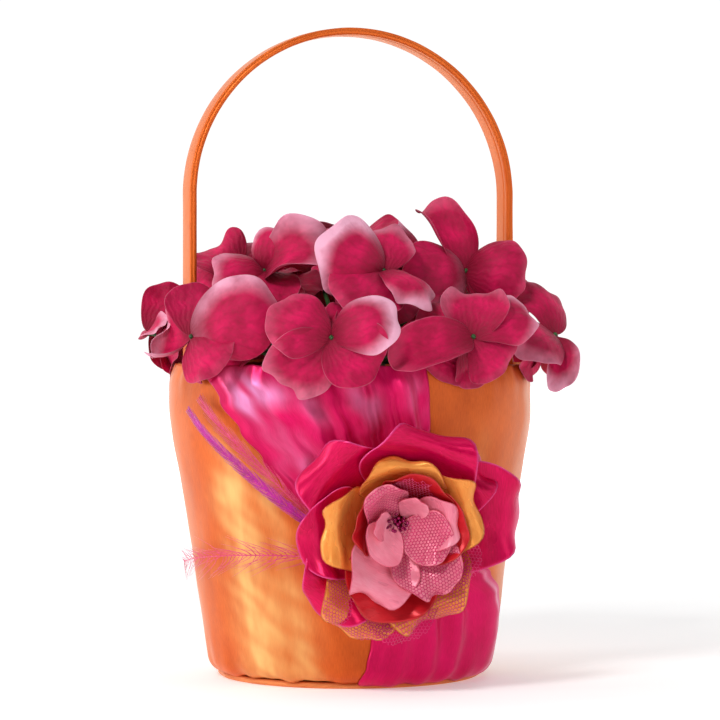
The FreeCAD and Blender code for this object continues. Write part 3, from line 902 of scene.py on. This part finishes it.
def wrap_to_wall(share):
    """Bends a petal's far parts back with the round wall, by a share of the wall's own curve."""
    radius, _, _ = wall_section(node_box("rosette_backing")[0].z + 10)

    def bent(point):
        fall = radius - math.sqrt(max(1.0, radius * radius - min(abs(point.x), radius - 2) ** 2))
        outer = max(0.0, abs(point.x) - 8) / 30
        return point + Vector((0, share * fall * smooth(outer), 0))

    return bent


# name, angle, start radius, height, how far it follows the wall, petal
OUTER_PETALS = [
    ("outer_petal_1", 4, 4, 1.6, 0.05, Petal(43, 40, 6, 14, 75, 0.014, 1.4, 4, 0.05, 0.5, 11)),
    ("outer_petal_2", 72, 3, 2.4, 0.4, Petal(37, 44, 6, 52, 130, 0.026, 0.7, 4, -0.03, 0.35, 12)),
    ("outer_petal_3", 142, 4, 1.9, 0.8, Petal(37, 34, 8, 40, 110, 0.028, 0.8, 4, 0.0, 0.4, 13)),
    ("outer_petal_4", 190, 4, 1.5, 0.8, Petal(33, 34, 6, 50, 60, 0.032, 1.4, 5, 0.0, 0.4, 14)),
    ("outer_petal_5", 228, 5, 2.0, 0.7, Petal(37, 34, 2, 44, 70, 0.030, 1.4, 4, 0.02, 0.45, 15)),
    ("outer_petal_6", 318, 4, 1.3, 0.4, Petal(33, 34, 4, 18, 50, 0.014, 1.0, 5, 0.0, 0.5, 16)),
    ("outer_petal_7", 36, 3, 2.0, 0.3, Petal(36, 30, 4, 34, 90, 0.026, 1.6, 6, 0.0, 0.4, 17)),
]
ORANGE_PETALS = [
    ("orange_petal_1", 14, 3, 3.6, 0.2, Petal(30, 33, 10, 58, 120, 0.036, 0.8, 5, -0.02, 0.35, 21)),
    ("orange_petal_2", 90, 3, 3.9, 0.2, Petal(25, 32, 10, 58, 130, 0.036, 0.8, 5, -0.02, 0.35, 22)),
    ("orange_petal_3", 184, 3, 3.4, 0.3, Petal(29, 31, 8, 58, 130, 0.036, 0.9, 5, -0.02, 0.35, 23)),
    ("orange_petal_4", 246, 4, 3.0, 0.3, Petal(41, 32, 4, 36, 100, 0.028, 1.1, 5, 0.0, 0.4, 24)),
    ("orange_petal_5", 292, 4, 3.3, 0.2, Petal(36, 38, 6, 38, 100, 0.026, 1.2, 6, 0.0, 0.35, 25)),
]
CORAL_PETALS = [
    ("coral_petal_a", 56, 2, 5.8, 0.0, Petal(22, 32, 14, 50, 20, 0.045, 1.0, 5, 0.0, 0.35, 31)),
    ("coral_petal_b", 356, 2, 5.6, 0.0, Petal(25, 28, 12, 50, 20, 0.045, 1.0, 5, 0.0, 0.35, 34)),
    ("coral_petal_c", 168, 2, 5.7, 0.0, Petal(20, 26, 16, 50, 20, 0.045, 1.0, 5, 0.0, 0.35, 32)),
    ("coral_petal_d", 262, 3, 5.3, 0.0, Petal(33, 36, 6, 42, 30, 0.032, 1.2, 5, 0.0, 0.35, 33)),
]
PINK_PETALS = [
    ("pink_petal_1", 8, 3, 8.6, 0.0, Petal(21, 21, 14, 60, 150, 0.070, 0.7, 4, 0.0, 0.30, 41)),
    ("pink_petal_2", 58, 3, 9.6, 0.0, Petal(12, 11, 26, 44, 30, 0.070, 0.5, 4, 0.0, 0.30, 42)),
    ("pink_petal_3", 128, 2, 8.9, 0.0, Petal(18, 18, 16, 46, 90, 0.060, 0.8, 5, 0.0, 0.25, 43)),
    ("pink_petal_4", 246, 2, 8.0, 0.0, Petal(29, 28, 8, 48, 120, 0.048, 1.1, 5, 0.0, 0.30, 44)),
    ("pink_petal_5", 306, 2, 8.3, 0.0, Petal(28, 26, 8, 46, 90, 0.046, 1.3, 6, 0.0, 0.30, 45)),
    ("mauve_petal", 222, 1, 11.4, 0.0, Petal(15, 18, 12, 34, 20, 0.050, 0.4, 4, 0.0, 0.30, 46)),
    ("tab_petal", 176, 2, 10.8, 0.0, Petal(12, 10.5, 22, 50, 30, 0.070, 0.4, 4, 0.0, 0.30, 47)),
    ("heart_petal", 338, 1, 10.6, 0.0, Petal(19, 20, 10, 44, 60, 0.055, 0.8, 5, 0.0, 0.25, 48)),
]
# a net petal, the petal it lies on, and how far it lies off it; the last ones stand by themselves
NET_OVER = [
    ("net_petal_1", "heart_petal", 0.5), ("net_petal_2", "pink_petal_3", 0.5),
    ("net_petal_3", "orange_petal_5", 0.6),
    ("net_over_pink", "pink_petal_5", 0.5), ("net_over_orange", "orange_petal_4", 0.6),
]
NET_ALONE = [
    ("net_loose_low", 272, 3, 4.2, 0.2, Petal(40, 30, 5, 32, 50, 0.024, 1.6, 7, 0.02, 0.4, 53)),
    ("net_loose_right", 326, 3, 4.4, 0.2, Petal(31, 30, 8, 40, 40, 0.032, 1.6, 6, 0.0, 0.4, 55)),
    ("net_loose_top", 70, 3, 6.6, 0.0, Petal(19, 22, 16, 46, 30, 0.050, 1.2, 6, 0.0, 0.3, 56)),
]


def make_rosette(materials):
    layers = (
        (OUTER_PETALS, "outer", "fuchsia_satin"),
        (ORANGE_PETALS, "ember", "orange_satin"),
        (CORAL_PETALS, "coral", "fuchsia_satin"),
        (PINK_PETALS, "pink", "pink_satin"),
    )
    for petals, material, slot in layers:
        for name, angle, start, low, wrap, petal in petals:
            placed = [(petal, rosette_matrix() @ turned(angle, start, low))]
            obj = join_petals(name + "_cloth", placed, 16, 64, wrap_to_wall(wrap))
            thicken(obj, 0.28)
            stands_for = [name] if name in frame["nodes"] else []
            finish_piece(obj, materials[material], BASKET, slot, stands_for)


def net_object(name, petal, matrix, cell, thread, adjust):
    """Hexagonal net in a petal's shape: a flat ribbon along every side of every cell."""
    side = cell / math.sqrt(3)
    points = []
    faces = []

    def add_thread(a, b):
        if not (petal.inside(*a) and petal.inside(*b)):
            return
        run = Vector(b) - Vector(a)
        across = Vector((-run.y, run.x)).normalized() * thread / 2
        start = len(points)
        for corner in (Vector(a) - across, Vector(a) + across, Vector(b) + across, Vector(b) - across):
            ahead = corner.x - petal.middle
            turn = math.atan2(corner.y, ahead) % (2 * math.pi)
            edge = clamp(math.hypot(ahead, corner.y) / (petal.length / 2))
            points.append(adjust(matrix @ petal.point(corner.x, corner.y, edge, turn)))
        faces.append((start, start + 1, start + 2, start + 3))

    columns = int(petal.length / (1.5 * side)) + 1
    rows = int(petal.width / cell) + 1
    for column in range(columns):
        for row in range(-rows // 2 - 1, rows // 2 + 2):
            middle = Vector((1.5 * side * column, cell * (row + 0.5 * (column % 2))))
            turns = [math.radians(60 * corner) for corner in range(4)]
            corners = [middle + side * Vector((math.cos(turn), math.sin(turn))) for turn in turns]
            for a, b in zip(corners, corners[1:]):
                add_thread(tuple(a), tuple(b))
    obj = new_object(name, points, faces)
    thicken(obj, 0.08)
    return obj


def make_nets(materials):
    cell, thread = 1.2, 0.22
    under = {row[0]: row[1:] for row in ORANGE_PETALS + PINK_PETALS}
    nets = list(NET_ALONE)
    for name, petal_name, off in NET_OVER:
        angle, start, low, wrap, petal = under[petal_name]
        nets.append((name, angle, start, low + off, wrap, petal))
    for name, angle, start, low, wrap, petal in nets:
        matrix = rosette_matrix() @ turned(angle, start, low)
        obj = net_object(name + "_mesh", petal, matrix, cell, thread, wrap_to_wall(wrap))
        finish_piece(obj, materials["net"], BASKET, "fuchsia_net", [name] if name in frame["nodes"] else [])


def tube(line, radii, sides=8):
    """Points and faces of a closed tube along a line."""
    points = []
    for index, middle in enumerate(line):
        run = (line[min(len(line) - 1, index + 1)] - line[max(0, index - 1)]).normalized()
        side = run.cross(Vector((0.31, 0.22, 0.93))).normalized()
        up = side.cross(run)
        for step in range(sides):
            turn = 2 * math.pi * step / sides
            points.append(middle + (side * math.cos(turn) + up * math.sin(turn)) * radii[index])
    return points, closed_tube(len(line), sides)


def make_beads(materials):
    """The rosette's heart: fine stalks, each with a drop-shaped bead."""
    beads = 22
    golden_turn = 2.4
    draw = random.Random(5)
    matrix = rosette_matrix()
    points = []
    faces = []
    for index in range(beads):
        angle = index * golden_turn
        away = 0.9 * math.sqrt(index)
        foot = Vector((0.2 * away * math.cos(angle), 0.2 * away * math.sin(angle) + 0.5, 7))
        head = Vector((away * math.cos(angle) - 1.2, 0.8 * away * math.sin(angle) + 0.6, 13.2 - 0.25 * away))
        head += Vector((draw.uniform(-0.4, 0.4), draw.uniform(-0.4, 0.4), draw.uniform(-0.6, 0.6)))
        line = [
            foot.lerp(head, share) + Vector((0, 0.6 * math.sin(math.pi * share), 0))
            for share in (0, 0.35, 0.7)
        ]
        run = (head - line[-1]).normalized()
        size = draw.uniform(0.75, 1.05)
        radii = [0.16, 0.14, 0.15]
        for share in (0.0, 0.25, 0.5, 0.8, 1.15, 1.4, 1.55):
            line.append(head + run * size * (share - 0.6))
            radii.append(size * 0.62 * math.sin(math.pi * clamp(0.08 + share / 1.75)) ** 0.7)
        verts, quads = tube([matrix @ p for p in line], radii)
        start = len(points)
        points += verts
        faces += [tuple(start + i for i in face) for face in quads]
    obj = new_object("bead_cluster", points, faces)
    finish_piece(obj, materials["bead"], BASKET, "dark_bead", ["rosette_beads"])


# ---- the feathers ----
def curve_point(share, first, second, third):
    """A point of a quadratic curve, and its slope."""
    back = 1 - share
    at = [back * back * a + 2 * back * share * b + share * share * c for a, b, c in zip(first, second, third)]
    slope = [2 * back * (b - a) + 2 * share * (c - b) for a, b, c in zip(first, second, third)]
    return at, slope


def make_feather(materials, name, key, slot, node, line, widest, barbs, loose, seed, lift):
    """A hackle on the wall. line is its root, bend and tip, each (azimuth, height), widest its barbs'
    longest reach, loose how ragged it is, and lift how far it stands off the wall."""
    draw = random.Random(seed)

    def on_wall(share, aside=0.0, off=0.0):
        (azimuth, height), (turn, run_z) = curve_point(share, *line)
        radius = wall_section(height)[0]
        run_x = turn * math.radians(radius)
        size = math.hypot(run_x, run_z)
        azimuth += math.degrees(-run_z / size * aside / radius)
        height += run_x / size * aside
        return wall_point(azimuth, height, lift + off + 2.2 * math.sin(math.pi * share) + 1.5 * share)

    steps = 26
    stalk = [on_wall(step / steps) for step in range(steps + 1)]
    radii = [mix(0.28, 0.06, step / steps) for step in range(steps + 1)]
    points, faces = tube(stalk, radii, 6)
    for index in range(barbs):
        share = 0.04 + 0.95 * index / barbs
        full = math.sin(math.pi * clamp(0.12 + 0.86 * share)) ** 0.55
        for side in (-1, 1):
            reach = widest * full * draw.uniform(1 - loose, 1.0)
            forward = draw.uniform(0.08, 0.14) + 0.05 * loose
            off = draw.uniform(-0.2, 0.3) * (1 + 3 * loose)
            thin = draw.uniform(0.10, 0.16)
            barb = []
            for out in (0, 0.25, 0.5, 0.75, 1):
                at = min(1.0, share + forward * out ** 1.4)
                barb.append(on_wall(at, side * reach * out ** 0.85, off * out))
            start = len(points)
            for step, middle in enumerate(barb):
                run = (barb[min(4, step + 1)] - barb[max(0, step - 1)]).normalized()
                across = run.cross(Vector((middle.x, middle.y, 0)).normalized()) * thin * (1.15 - step / 4)
                points += [middle - across, middle + across]
            for a in range(start, start + 8, 2):
                faces.append((a, a + 1, a + 3, a + 2))
    obj = new_object(name, points, faces)
    thicken(obj, 0.05)
    finish_piece(obj, materials[key], BASKET, slot, [node])


# name, material, slot, node, (root, bend, tip), widest, barbs, loose, seed, lift
FEATHERS = [
    ("purple_hackle", "purple", "purple_feather", "feather_long", ((-24, 55), (-36, 66), (-71, 97)),
     2.3, 120, 0.12, 3, 2.4),
    ("pale_hackle", "wisp", "pink_feather", "feather_pale", ((-26, 58), (-36, 72), (-66, 101)),
     3.2, 60, 0.55, 4, 1.6),
    ("wispy_hackle", "wisp", "pink_feather", "feather_wispy", ((-22, 47), (-60, 50), (-100, 40)),
     8.0, 46, 0.75, 6, 1.8),
]


def make_feathers(materials):
    for feather in FEATHERS:
        make_feather(materials, *feather)


# ---- the flower head ----
HANDLE_CLEAR = 7.7          # half width of the space that the handle needs as the head lifts
PETAL_CLEAR = 1.2           # least space between a low petal and the covered wall
LOW_FLORET = 130            # a floret whose eye is lower than this hangs over the rim


def clear_of_basket(low_ring):
    """Moves a petal's point out of the handle's way, and outside the rim for the lowest florets."""

    def moved(point):
        x, y, z = point
        if abs(y) < HANDLE_CLEAR:
            rise = z + LIFT - ARCH_HEIGHT
            inner = STRAP_RADIUS - STRAP_THICKNESS - 0.4
            limit = inner if rise <= 0 else math.sqrt(max(1.0, inner * inner - rise * rise))
            if limit < abs(x) < STRAP_RADIUS + STRAP_THICKNESS + 0.6:
                y = math.copysign(HANDLE_CLEAR, y)
        if low_ring and z < RIM_HEIGHT + 1.5:
            reach = math.hypot(x, y)
            least = wall_section(min(max(z, UPRIGHT_HIGH), RIM_HEIGHT))[0] + PETAL_CLEAR
            if reach < least:
                x, y = x * least / reach, y * least / reach
        return Vector((x, y, z))

    return moved


def floret_frame(node):
    """The matrix of a floret's eye, with X down and Z outward, from its CAD mesh."""
    spots = np.array([tuple(v.co) for v in frame["nodes"][node].data.vertices]) / MM
    middle = spots.mean(axis=0)
    axes = np.linalg.svd(spots - middle, full_matrices=False)[2]
    outward = Vector(axes[2])
    hub_low, hub_high = node_box("head_hub")
    if outward.dot(Vector(middle) - (hub_low + hub_high) / 2) < 0:
        outward = -outward
    top = ((spots - middle) @ np.array(outward)).max()
    origin = Vector(middle) + outward * float(top)
    down = Vector((0, 0, -1)) - outward * outward.dot(Vector((0, 0, -1)))
    if down.length < 0.2:
        down = Vector((0, -1, 0))
    return placement(origin, down.normalized(), outward)


VIEW_AZIMUTH = math.radians(16)


def seen(right, near, height):
    """A point from how far right, how near and how high it is, seen from the front left."""
    return Vector((
        right * math.cos(VIEW_AZIMUTH) - near * math.sin(VIEW_AZIMUTH),
        -right * math.sin(VIEW_AZIMUTH) - near * math.cos(VIEW_AZIMUTH),
        height,
    ))


# floret: tip (right, near, height), facing (the same axes), width, bend, cup, roll, ruffle, paleness and
# its turn
PLACED_PETALS = {
    "floret_01": [
        ((-17, 12, 157), (0, 0.4, 1), 22, -40, -0.02, 0, 1.4, 0.4, 0),
        ((14, 15, 156), (0, 0.5, 1), 22, -30, 0.03, 0, 1.2, 0, 0),
        ((17, -14, 158), (0, 0.3, 1), 22, -30, -0.02, 0, 1.2, 0, 0),
        ((-16, -16, 157), (0, 0, 1), 22, -30, 0.02, 0, 1.2, 0.3, 0),
    ],
    "floret_04": [
        ((-57, -17, 133), (-0.1, 0.9, 0.4), 25, -40, -0.03, 0, 1.2, 0.1, 0),
        ((-52, -22, 152), (-0.3, 0.5, 0.8), 21, -50, 0.03, 0, 1.2, 0, 0),
        ((-30, -22, 155), (-0.2, 0.6, 0.8), 21, -30, 0.02, 0, 1.2, 0.3, 0),
        ((-40, 8, 136), (-0.2, 0.9, 0.3), 22, -40, -0.03, 0, 1.2, 0, 0),
    ],
    "floret_05": [
        ((-24, 27, 160), (-0.2, 0.9, 0.25), 19, -75, -0.075, 60, 1.0, 1.0, 0.2),
        ((-10, 40, 151), (-0.1, 0.75, 0.6), 23, -55, 0.05, 85, 1.6, 0.7, 0.6),
        ((-47, 40, 141), (-0.3, 0.8, 0.4), 22, -55, -0.03, 30, 1.4, 0.5, -0.8),
        ((-30, 50, 131), (0, 0.95, 0.2), 23, -25, 0.02, 0, 1.2, 0, 0),
    ],
    "floret_06": [
        ((-10, 50, 154), (-0.1, 0.95, 0.3), 29, -60, -0.035, 25, 1.0, 1.3, -0.7),
        ((0, 60, 131), (0, 0.9, 0.4), 25, -40, -0.02, 0, 1.0, 0.1, 0),
        ((27, 56, 133), (0.3, 0.45, 0.9), 18, -60, -0.05, 30, 1.8, 0.8, 0.3),
        ((14, 28, 160), (0, 0.8, 0.4), 19, -40, -0.04, 0, 1.2, 0.4, 0),
    ],
    "floret_07": [
        ((20, 30, 141), (-0.05, 1, 0.1), 26, -45, -0.035, 15, 0.8, 0.45, 2.2),
        ((63, 16, 145), (0.25, 0.9, 0.2), 27, -60, -0.055, 30, 1.2, 0.1, 0),
        ((28, 4, 168), (0.45, 0.8, 0.1), 20, -30, 0.09, 40, 1.0, 0.15, 0),
        ((66, 0, 131), (0.6, 0.7, 0.1), 21, -45, -0.06, 0, 1.4, 0.2, 0),
    ],
    "floret_11": [
        ((-59, -20, 137), (-0.2, 0.9, 0.3), 20, -30, 0.03, 0, 1.2, 0, 0),
        ((-66, 6, 125), (-0.2, 0.85, 0.5), 10, -30, 0.04, 0, 0.8, 0.8, 0),
        ((-60, -30, 113), (-0.7, 0.2, 0.3), 16, -50, -0.03, 0, 1.4, 0.2, 0),
        ((-63, -38, 128), (-0.6, -0.1, 0.5), 18, -40, 0.03, 0, 1.2, 0.3, 0),
    ],
    "floret_12": [
        ((-25, 60, 134), (-0.05, 1, 0.15), 29, -60, -0.035, 20, 1.0, 0.75, 1.9),
        ((-69, 36, 118), (-0.25, 0.75, 0.65), 25, 50, 0.07, -70, 1.2, 0.9, 0.7),
        ((-44, 62, 111), (0, 0.95, -0.1), 21, -40, -0.03, 0, 1.8, 0.1, 0),
        ((-48, 42, 139), (-0.2, 0.8, 0.5), 22, -30, 0.03, 0, 1.2, 0, 0),
    ],
    "floret_13": [
        ((17, 71, 129), (0, 0.9, 0.45), 20, -55, -0.03, 15, 1.0, 1.2, 0),
        ((-27, 69, 129), (0, 0.92, 0.4), 22, -50, -0.03, 10, 1.2, 0.15, 0),
        ((-24, 69, 107), (0, 0.95, -0.1), 22, -30, 0.03, 35, 2.4, 0.3, 0.5),
        ((9, 74, 110), (0, 0.95, 0.2), 23, -40, 0.02, 0, 1.6, 0, 0),
    ],
    "floret_14": [
        ((55, 54, 112), (0.25, 0.93, 0.2), 23, -45, -0.035, 0, 1.2, 0.1, 0),
        ((15, 68, 113), (-0.05, 0.92, 0.4), 19, -35, 0.07, 10, 1.2, 0.1, 0),
        ((44, 46, 138), (0, 0.85, 0.5), 22, -45, 0.03, 20, 1.6, 0.3, 0.5),
        ((63, 44, 131), (0.3, 0.7, 0.7), 20, -60, -0.05, 30, 1.2, 0.75, 0.5),
    ],
    "floret_15": [
        ((73, 26, 104), (0.35, 0.75, 0.55), 15, -35, 0.12, 30, 1.2, 0.8, 0.3),
        ((58, 38, 117), (0.2, 0.8, 0.5), 22, -45, -0.03, 0, 1.4, 0.4, 0.5),
        ((67, 2, 141), (0.6, 0.75, 0.1), 20, -50, -0.04, 0, 1.2, 0.1, 0),
        ((70, -10, 110), (0.9, -0.1, 0.2), 20, -50, 0.03, 0, 1.6, 0.2, 0),
    ],
}
# how much more a placed petal bends, cups and spreads than its row says
MORE_BEND, MORE_CUP, WIDER = 1.35, 1.45, 1.16


def placed_petal(eye, row, seed):
    """A petal from a floret's eye to a chosen tip, and its matrix."""
    tip, facing, width, bend, cup, roll, ruffle, _, _ = row
    bend, cup = MORE_BEND * bend, MORE_CUP * cup
    run = seen(*tip) - eye
    half_bend = math.radians(bend) / 2
    length = run.length * half_bend / math.sin(half_bend) * (1 + max(0, roll) / 500)
    fold = (0.0, 0.16, -0.12, 0.08)[seed % 4]
    petal = Petal(length, WIDER * width, -bend / 2, bend, roll, cup, ruffle, 4, 0.02, 0.28, seed, fold)
    along = run.normalized()
    face = seen(*facing)
    face = (face - along * face.dot(along)).normalized()
    return petal, placement(eye, along, face)


def loose_petals(eye, number, draw):
    """Four petals for a floret whose petals are not placed one by one."""
    spin = draw.uniform(0, 90)
    placed = []
    pale = []
    for layer in range(4):
        length = draw.uniform(20, 25)
        petal = Petal(
            length, length * draw.uniform(1.1, 1.3), draw.uniform(-5, 35), draw.uniform(-75, -20),
            draw.choice([0, 25, 60]), draw.uniform(-0.045, 0.04), draw.uniform(1.0, 2.2),
            draw.choice([3, 4, 5]), draw.uniform(0, 0.05), 0.3, 100 + 4 * number + layer,
        )
        turn = spin + 90 * layer + draw.uniform(-9, 9)
        placed.append((petal, eye @ turned(turn, 1.0, -0.5 + 0.35 * layer)))
        pale.append((max(0.0, draw.gauss(0.3, 0.4)), draw.uniform(-1, 1)))
    return placed, pale


def under_petals(eye, number):
    """A floret's lower petals, which close the gaps between its neighbours."""
    draw = random.Random(300 + number)
    placed = []
    for quarter in range(4):
        length = draw.uniform(16, 20)
        petal = Petal(
            length, 1.25 * length, draw.uniform(-42, -24), draw.uniform(-20, 20), 0, draw.uniform(-0.04, 0.0),
            1.5, 4, 0.0, 0.3, 500 + 4 * number + quarter,
        )
        turn = 45 + 90 * quarter + draw.uniform(-12, 12)
        placed.append((petal, eye @ turned(turn, 0.5, -4.0)))
    return placed


def floret_names():
    return sorted(n for n in frame["nodes"] if n.startswith("floret_") and n[-2:].isdigit())


def make_florets(materials):
    draw = random.Random(41)
    for number, node in enumerate(floret_names()):
        eye = floret_frame(node)
        if node in PLACED_PETALS:
            rows = PLACED_PETALS[node]
            placed = [placed_petal(eye.translation, row, 200 + 4 * number + i) for i, row in enumerate(rows)]
            pale = [row[-2:] for row in rows]
        else:
            placed, pale = loose_petals(eye, number, draw)
        under = under_petals(eye, number)
        pale = pale + [(0.1, 0.0)] * len(under)
        adjust = clear_of_basket(eye.translation.z < LOW_FLORET)
        obj = join_petals("petals_" + node, placed + under, 11, 40, adjust, pale)
        thicken(obj, 0.22)
        subdivide(obj)
        finish_piece(obj, materials["floret"], HEAD, "floret_fabric", [node])


def make_floret_eyes(materials):
    """Each floret's green eye: a lobed bud."""
    rings, spokes = 7, 16
    points = []
    faces = []
    for node in floret_names():
        eye = floret_frame(node)
        faces += closed_tube(rings, spokes, len(points))
        for ring in range(rings):
            lift = math.pi * (ring + 0.5) / rings - math.pi / 2
            for spoke in range(spokes):
                turn = 2 * math.pi * spoke / spokes
                lobe = 1 + 0.16 * math.cos(4 * turn) * math.cos(lift)
                flat = 0.9 * lobe * math.cos(lift)
                spot = Vector((flat * math.cos(turn), flat * math.sin(turn), 0.3 + 1.0 * math.sin(lift)))
                points.append(eye @ spot)
    obj = new_object("floret_eyes", points, faces)
    subdivide(obj)
    finish_piece(obj, materials["green"], HEAD, "green_plastic", ["floret_beads"])


# ---- the CAD nodes that stay ----
def dress_cad_nodes(materials):
    """Gives the boards, wadding, foam, felt, wires and stitches their materials."""
    kept = {
        "pail_shell": "board", "pail_floor": "board", "base_board": "board", "wall_padding": "wadding",
        "handle_core": "strap", "handle_tack_left": "handle", "handle_tack_right": "handle",
        "foam_block": "foam", "rosette_backing": "felt", "head_stem": "green", "head_hub": "green",
        "floret_stems": "green",
    }
    for node, key in kept.items():
        obj = frame["nodes"][node]
        for slot in obj.material_slots:
            slot.material = materials[key]


# ---- the stage ----
def make_floor():
    side = 6000
    below = 0.05

    def place(across, along):
        return Vector(((across - 0.5) * side, (along - 0.5) * side, -below))

    floor = grid("pale_floor", 2, 2, place, (side, side))
    g = Graph("pale_floor_paint")
    tone = g.blend(g.noise(3.0, 2.0, "Object"), colour(0.93, 0.93, 0.93), colour(0.96, 0.96, 0.96))
    # the floor glows more the farther off it is, so that it meets the bright surroundings unseen
    away = g.add("VectorMath", {0: g.add("TexCoord").outputs["Object"]}, operation="LENGTH").outputs["Value"]
    glow = g.ramp(away, 0.35, 1.1, 0.30, 1.0)
    floor.data.materials.append(
        g.finish(Base_Color=tone, Roughness=0.9, Emission_Color=colour(1, 1, 1), Emission_Strength=glow)
    )


def make_surroundings():
    """White surroundings, dim in front of the basket and bright behind it."""
    world = bpy.data.worlds.new("soft_studio")
    world.use_nodes = True
    tree = world.node_tree
    background = tree.nodes["Background"]
    direction = tree.nodes.new("ShaderNodeTexCoord")
    split = tree.nodes.new("ShaderNodeSeparateXYZ")
    level = tree.nodes.new("ShaderNodeMapRange")
    level.interpolation_type = "SMOOTHSTEP"
    tree.links.new(direction.outputs["Generated"], split.inputs[0])
    tree.links.new(split.outputs["Y"], level.inputs["Value"])
    for key, value in (("From Min", -0.25), ("From Max", 0.65), ("To Min", 0.10), ("To Max", 1.05)):
        level.inputs[key].default_value = value
    tree.links.new(level.outputs[0], background.inputs["Strength"])
    background.inputs["Color"].default_value = (1, 1, 1, 1)
    bpy.context.scene.world = world


# name, place in metres, size, watts
LAMPS = [
    ("key_light", (-0.80, -0.74, 0.98), 0.28, 9),
    ("left_light", (-1.10, 0.20, 0.36), 0.26, 2.8),
    ("top_light", (0.15, -0.35, 1.30), 0.5, 1.2),
    ("right_fill", (1.0, -1.0, 0.6), 0.8, 3.0),
]


def aim_from(obj, place, aim):
    """Puts a lamp or camera in its place and points it at its aim."""
    obj.location = place
    obj.rotation_euler = (aim - Vector(place)).to_track_quat("-Z", "Y").to_euler()
    bpy.context.scene.collection.objects.link(obj)


def make_lamps():
    for name, place, size, watts in LAMPS:
        lamp = bpy.data.lights.new(name, "AREA")
        lamp.size = size
        lamp.energy = watts
        aim_from(bpy.data.objects.new(name, lamp), place, Vector((0, 0, 0.11)))


def make_camera():
    distance = 1.15
    height = 0.140
    aim_right, aim_height = 0.0038, 0.1127
    data = bpy.data.cameras.new("camera")
    data.sensor_width = 36
    data.lens = 160
    data.clip_start = 0.05
    camera = bpy.data.objects.new("camera", data)
    aim_from(camera, seen(0, distance, height), seen(aim_right, 0, aim_height))
    bpy.context.scene.camera = camera


make_camera()
make_floor()
make_surroundings()
make_lamps()
bpy.context.scene.view_settings.view_transform = "Standard"
cloths = make_materials()
make_outer_cover(cloths)
make_rim(cloths)
make_base(cloths)
make_lining(cloths)
make_handle(cloths)
make_sash(cloths)
make_rosette(cloths)
make_nets(cloths)
make_beads(cloths)
make_feathers(cloths)
make_florets(cloths)
make_floret_eyes(cloths)
dress_cad_nodes(cloths)
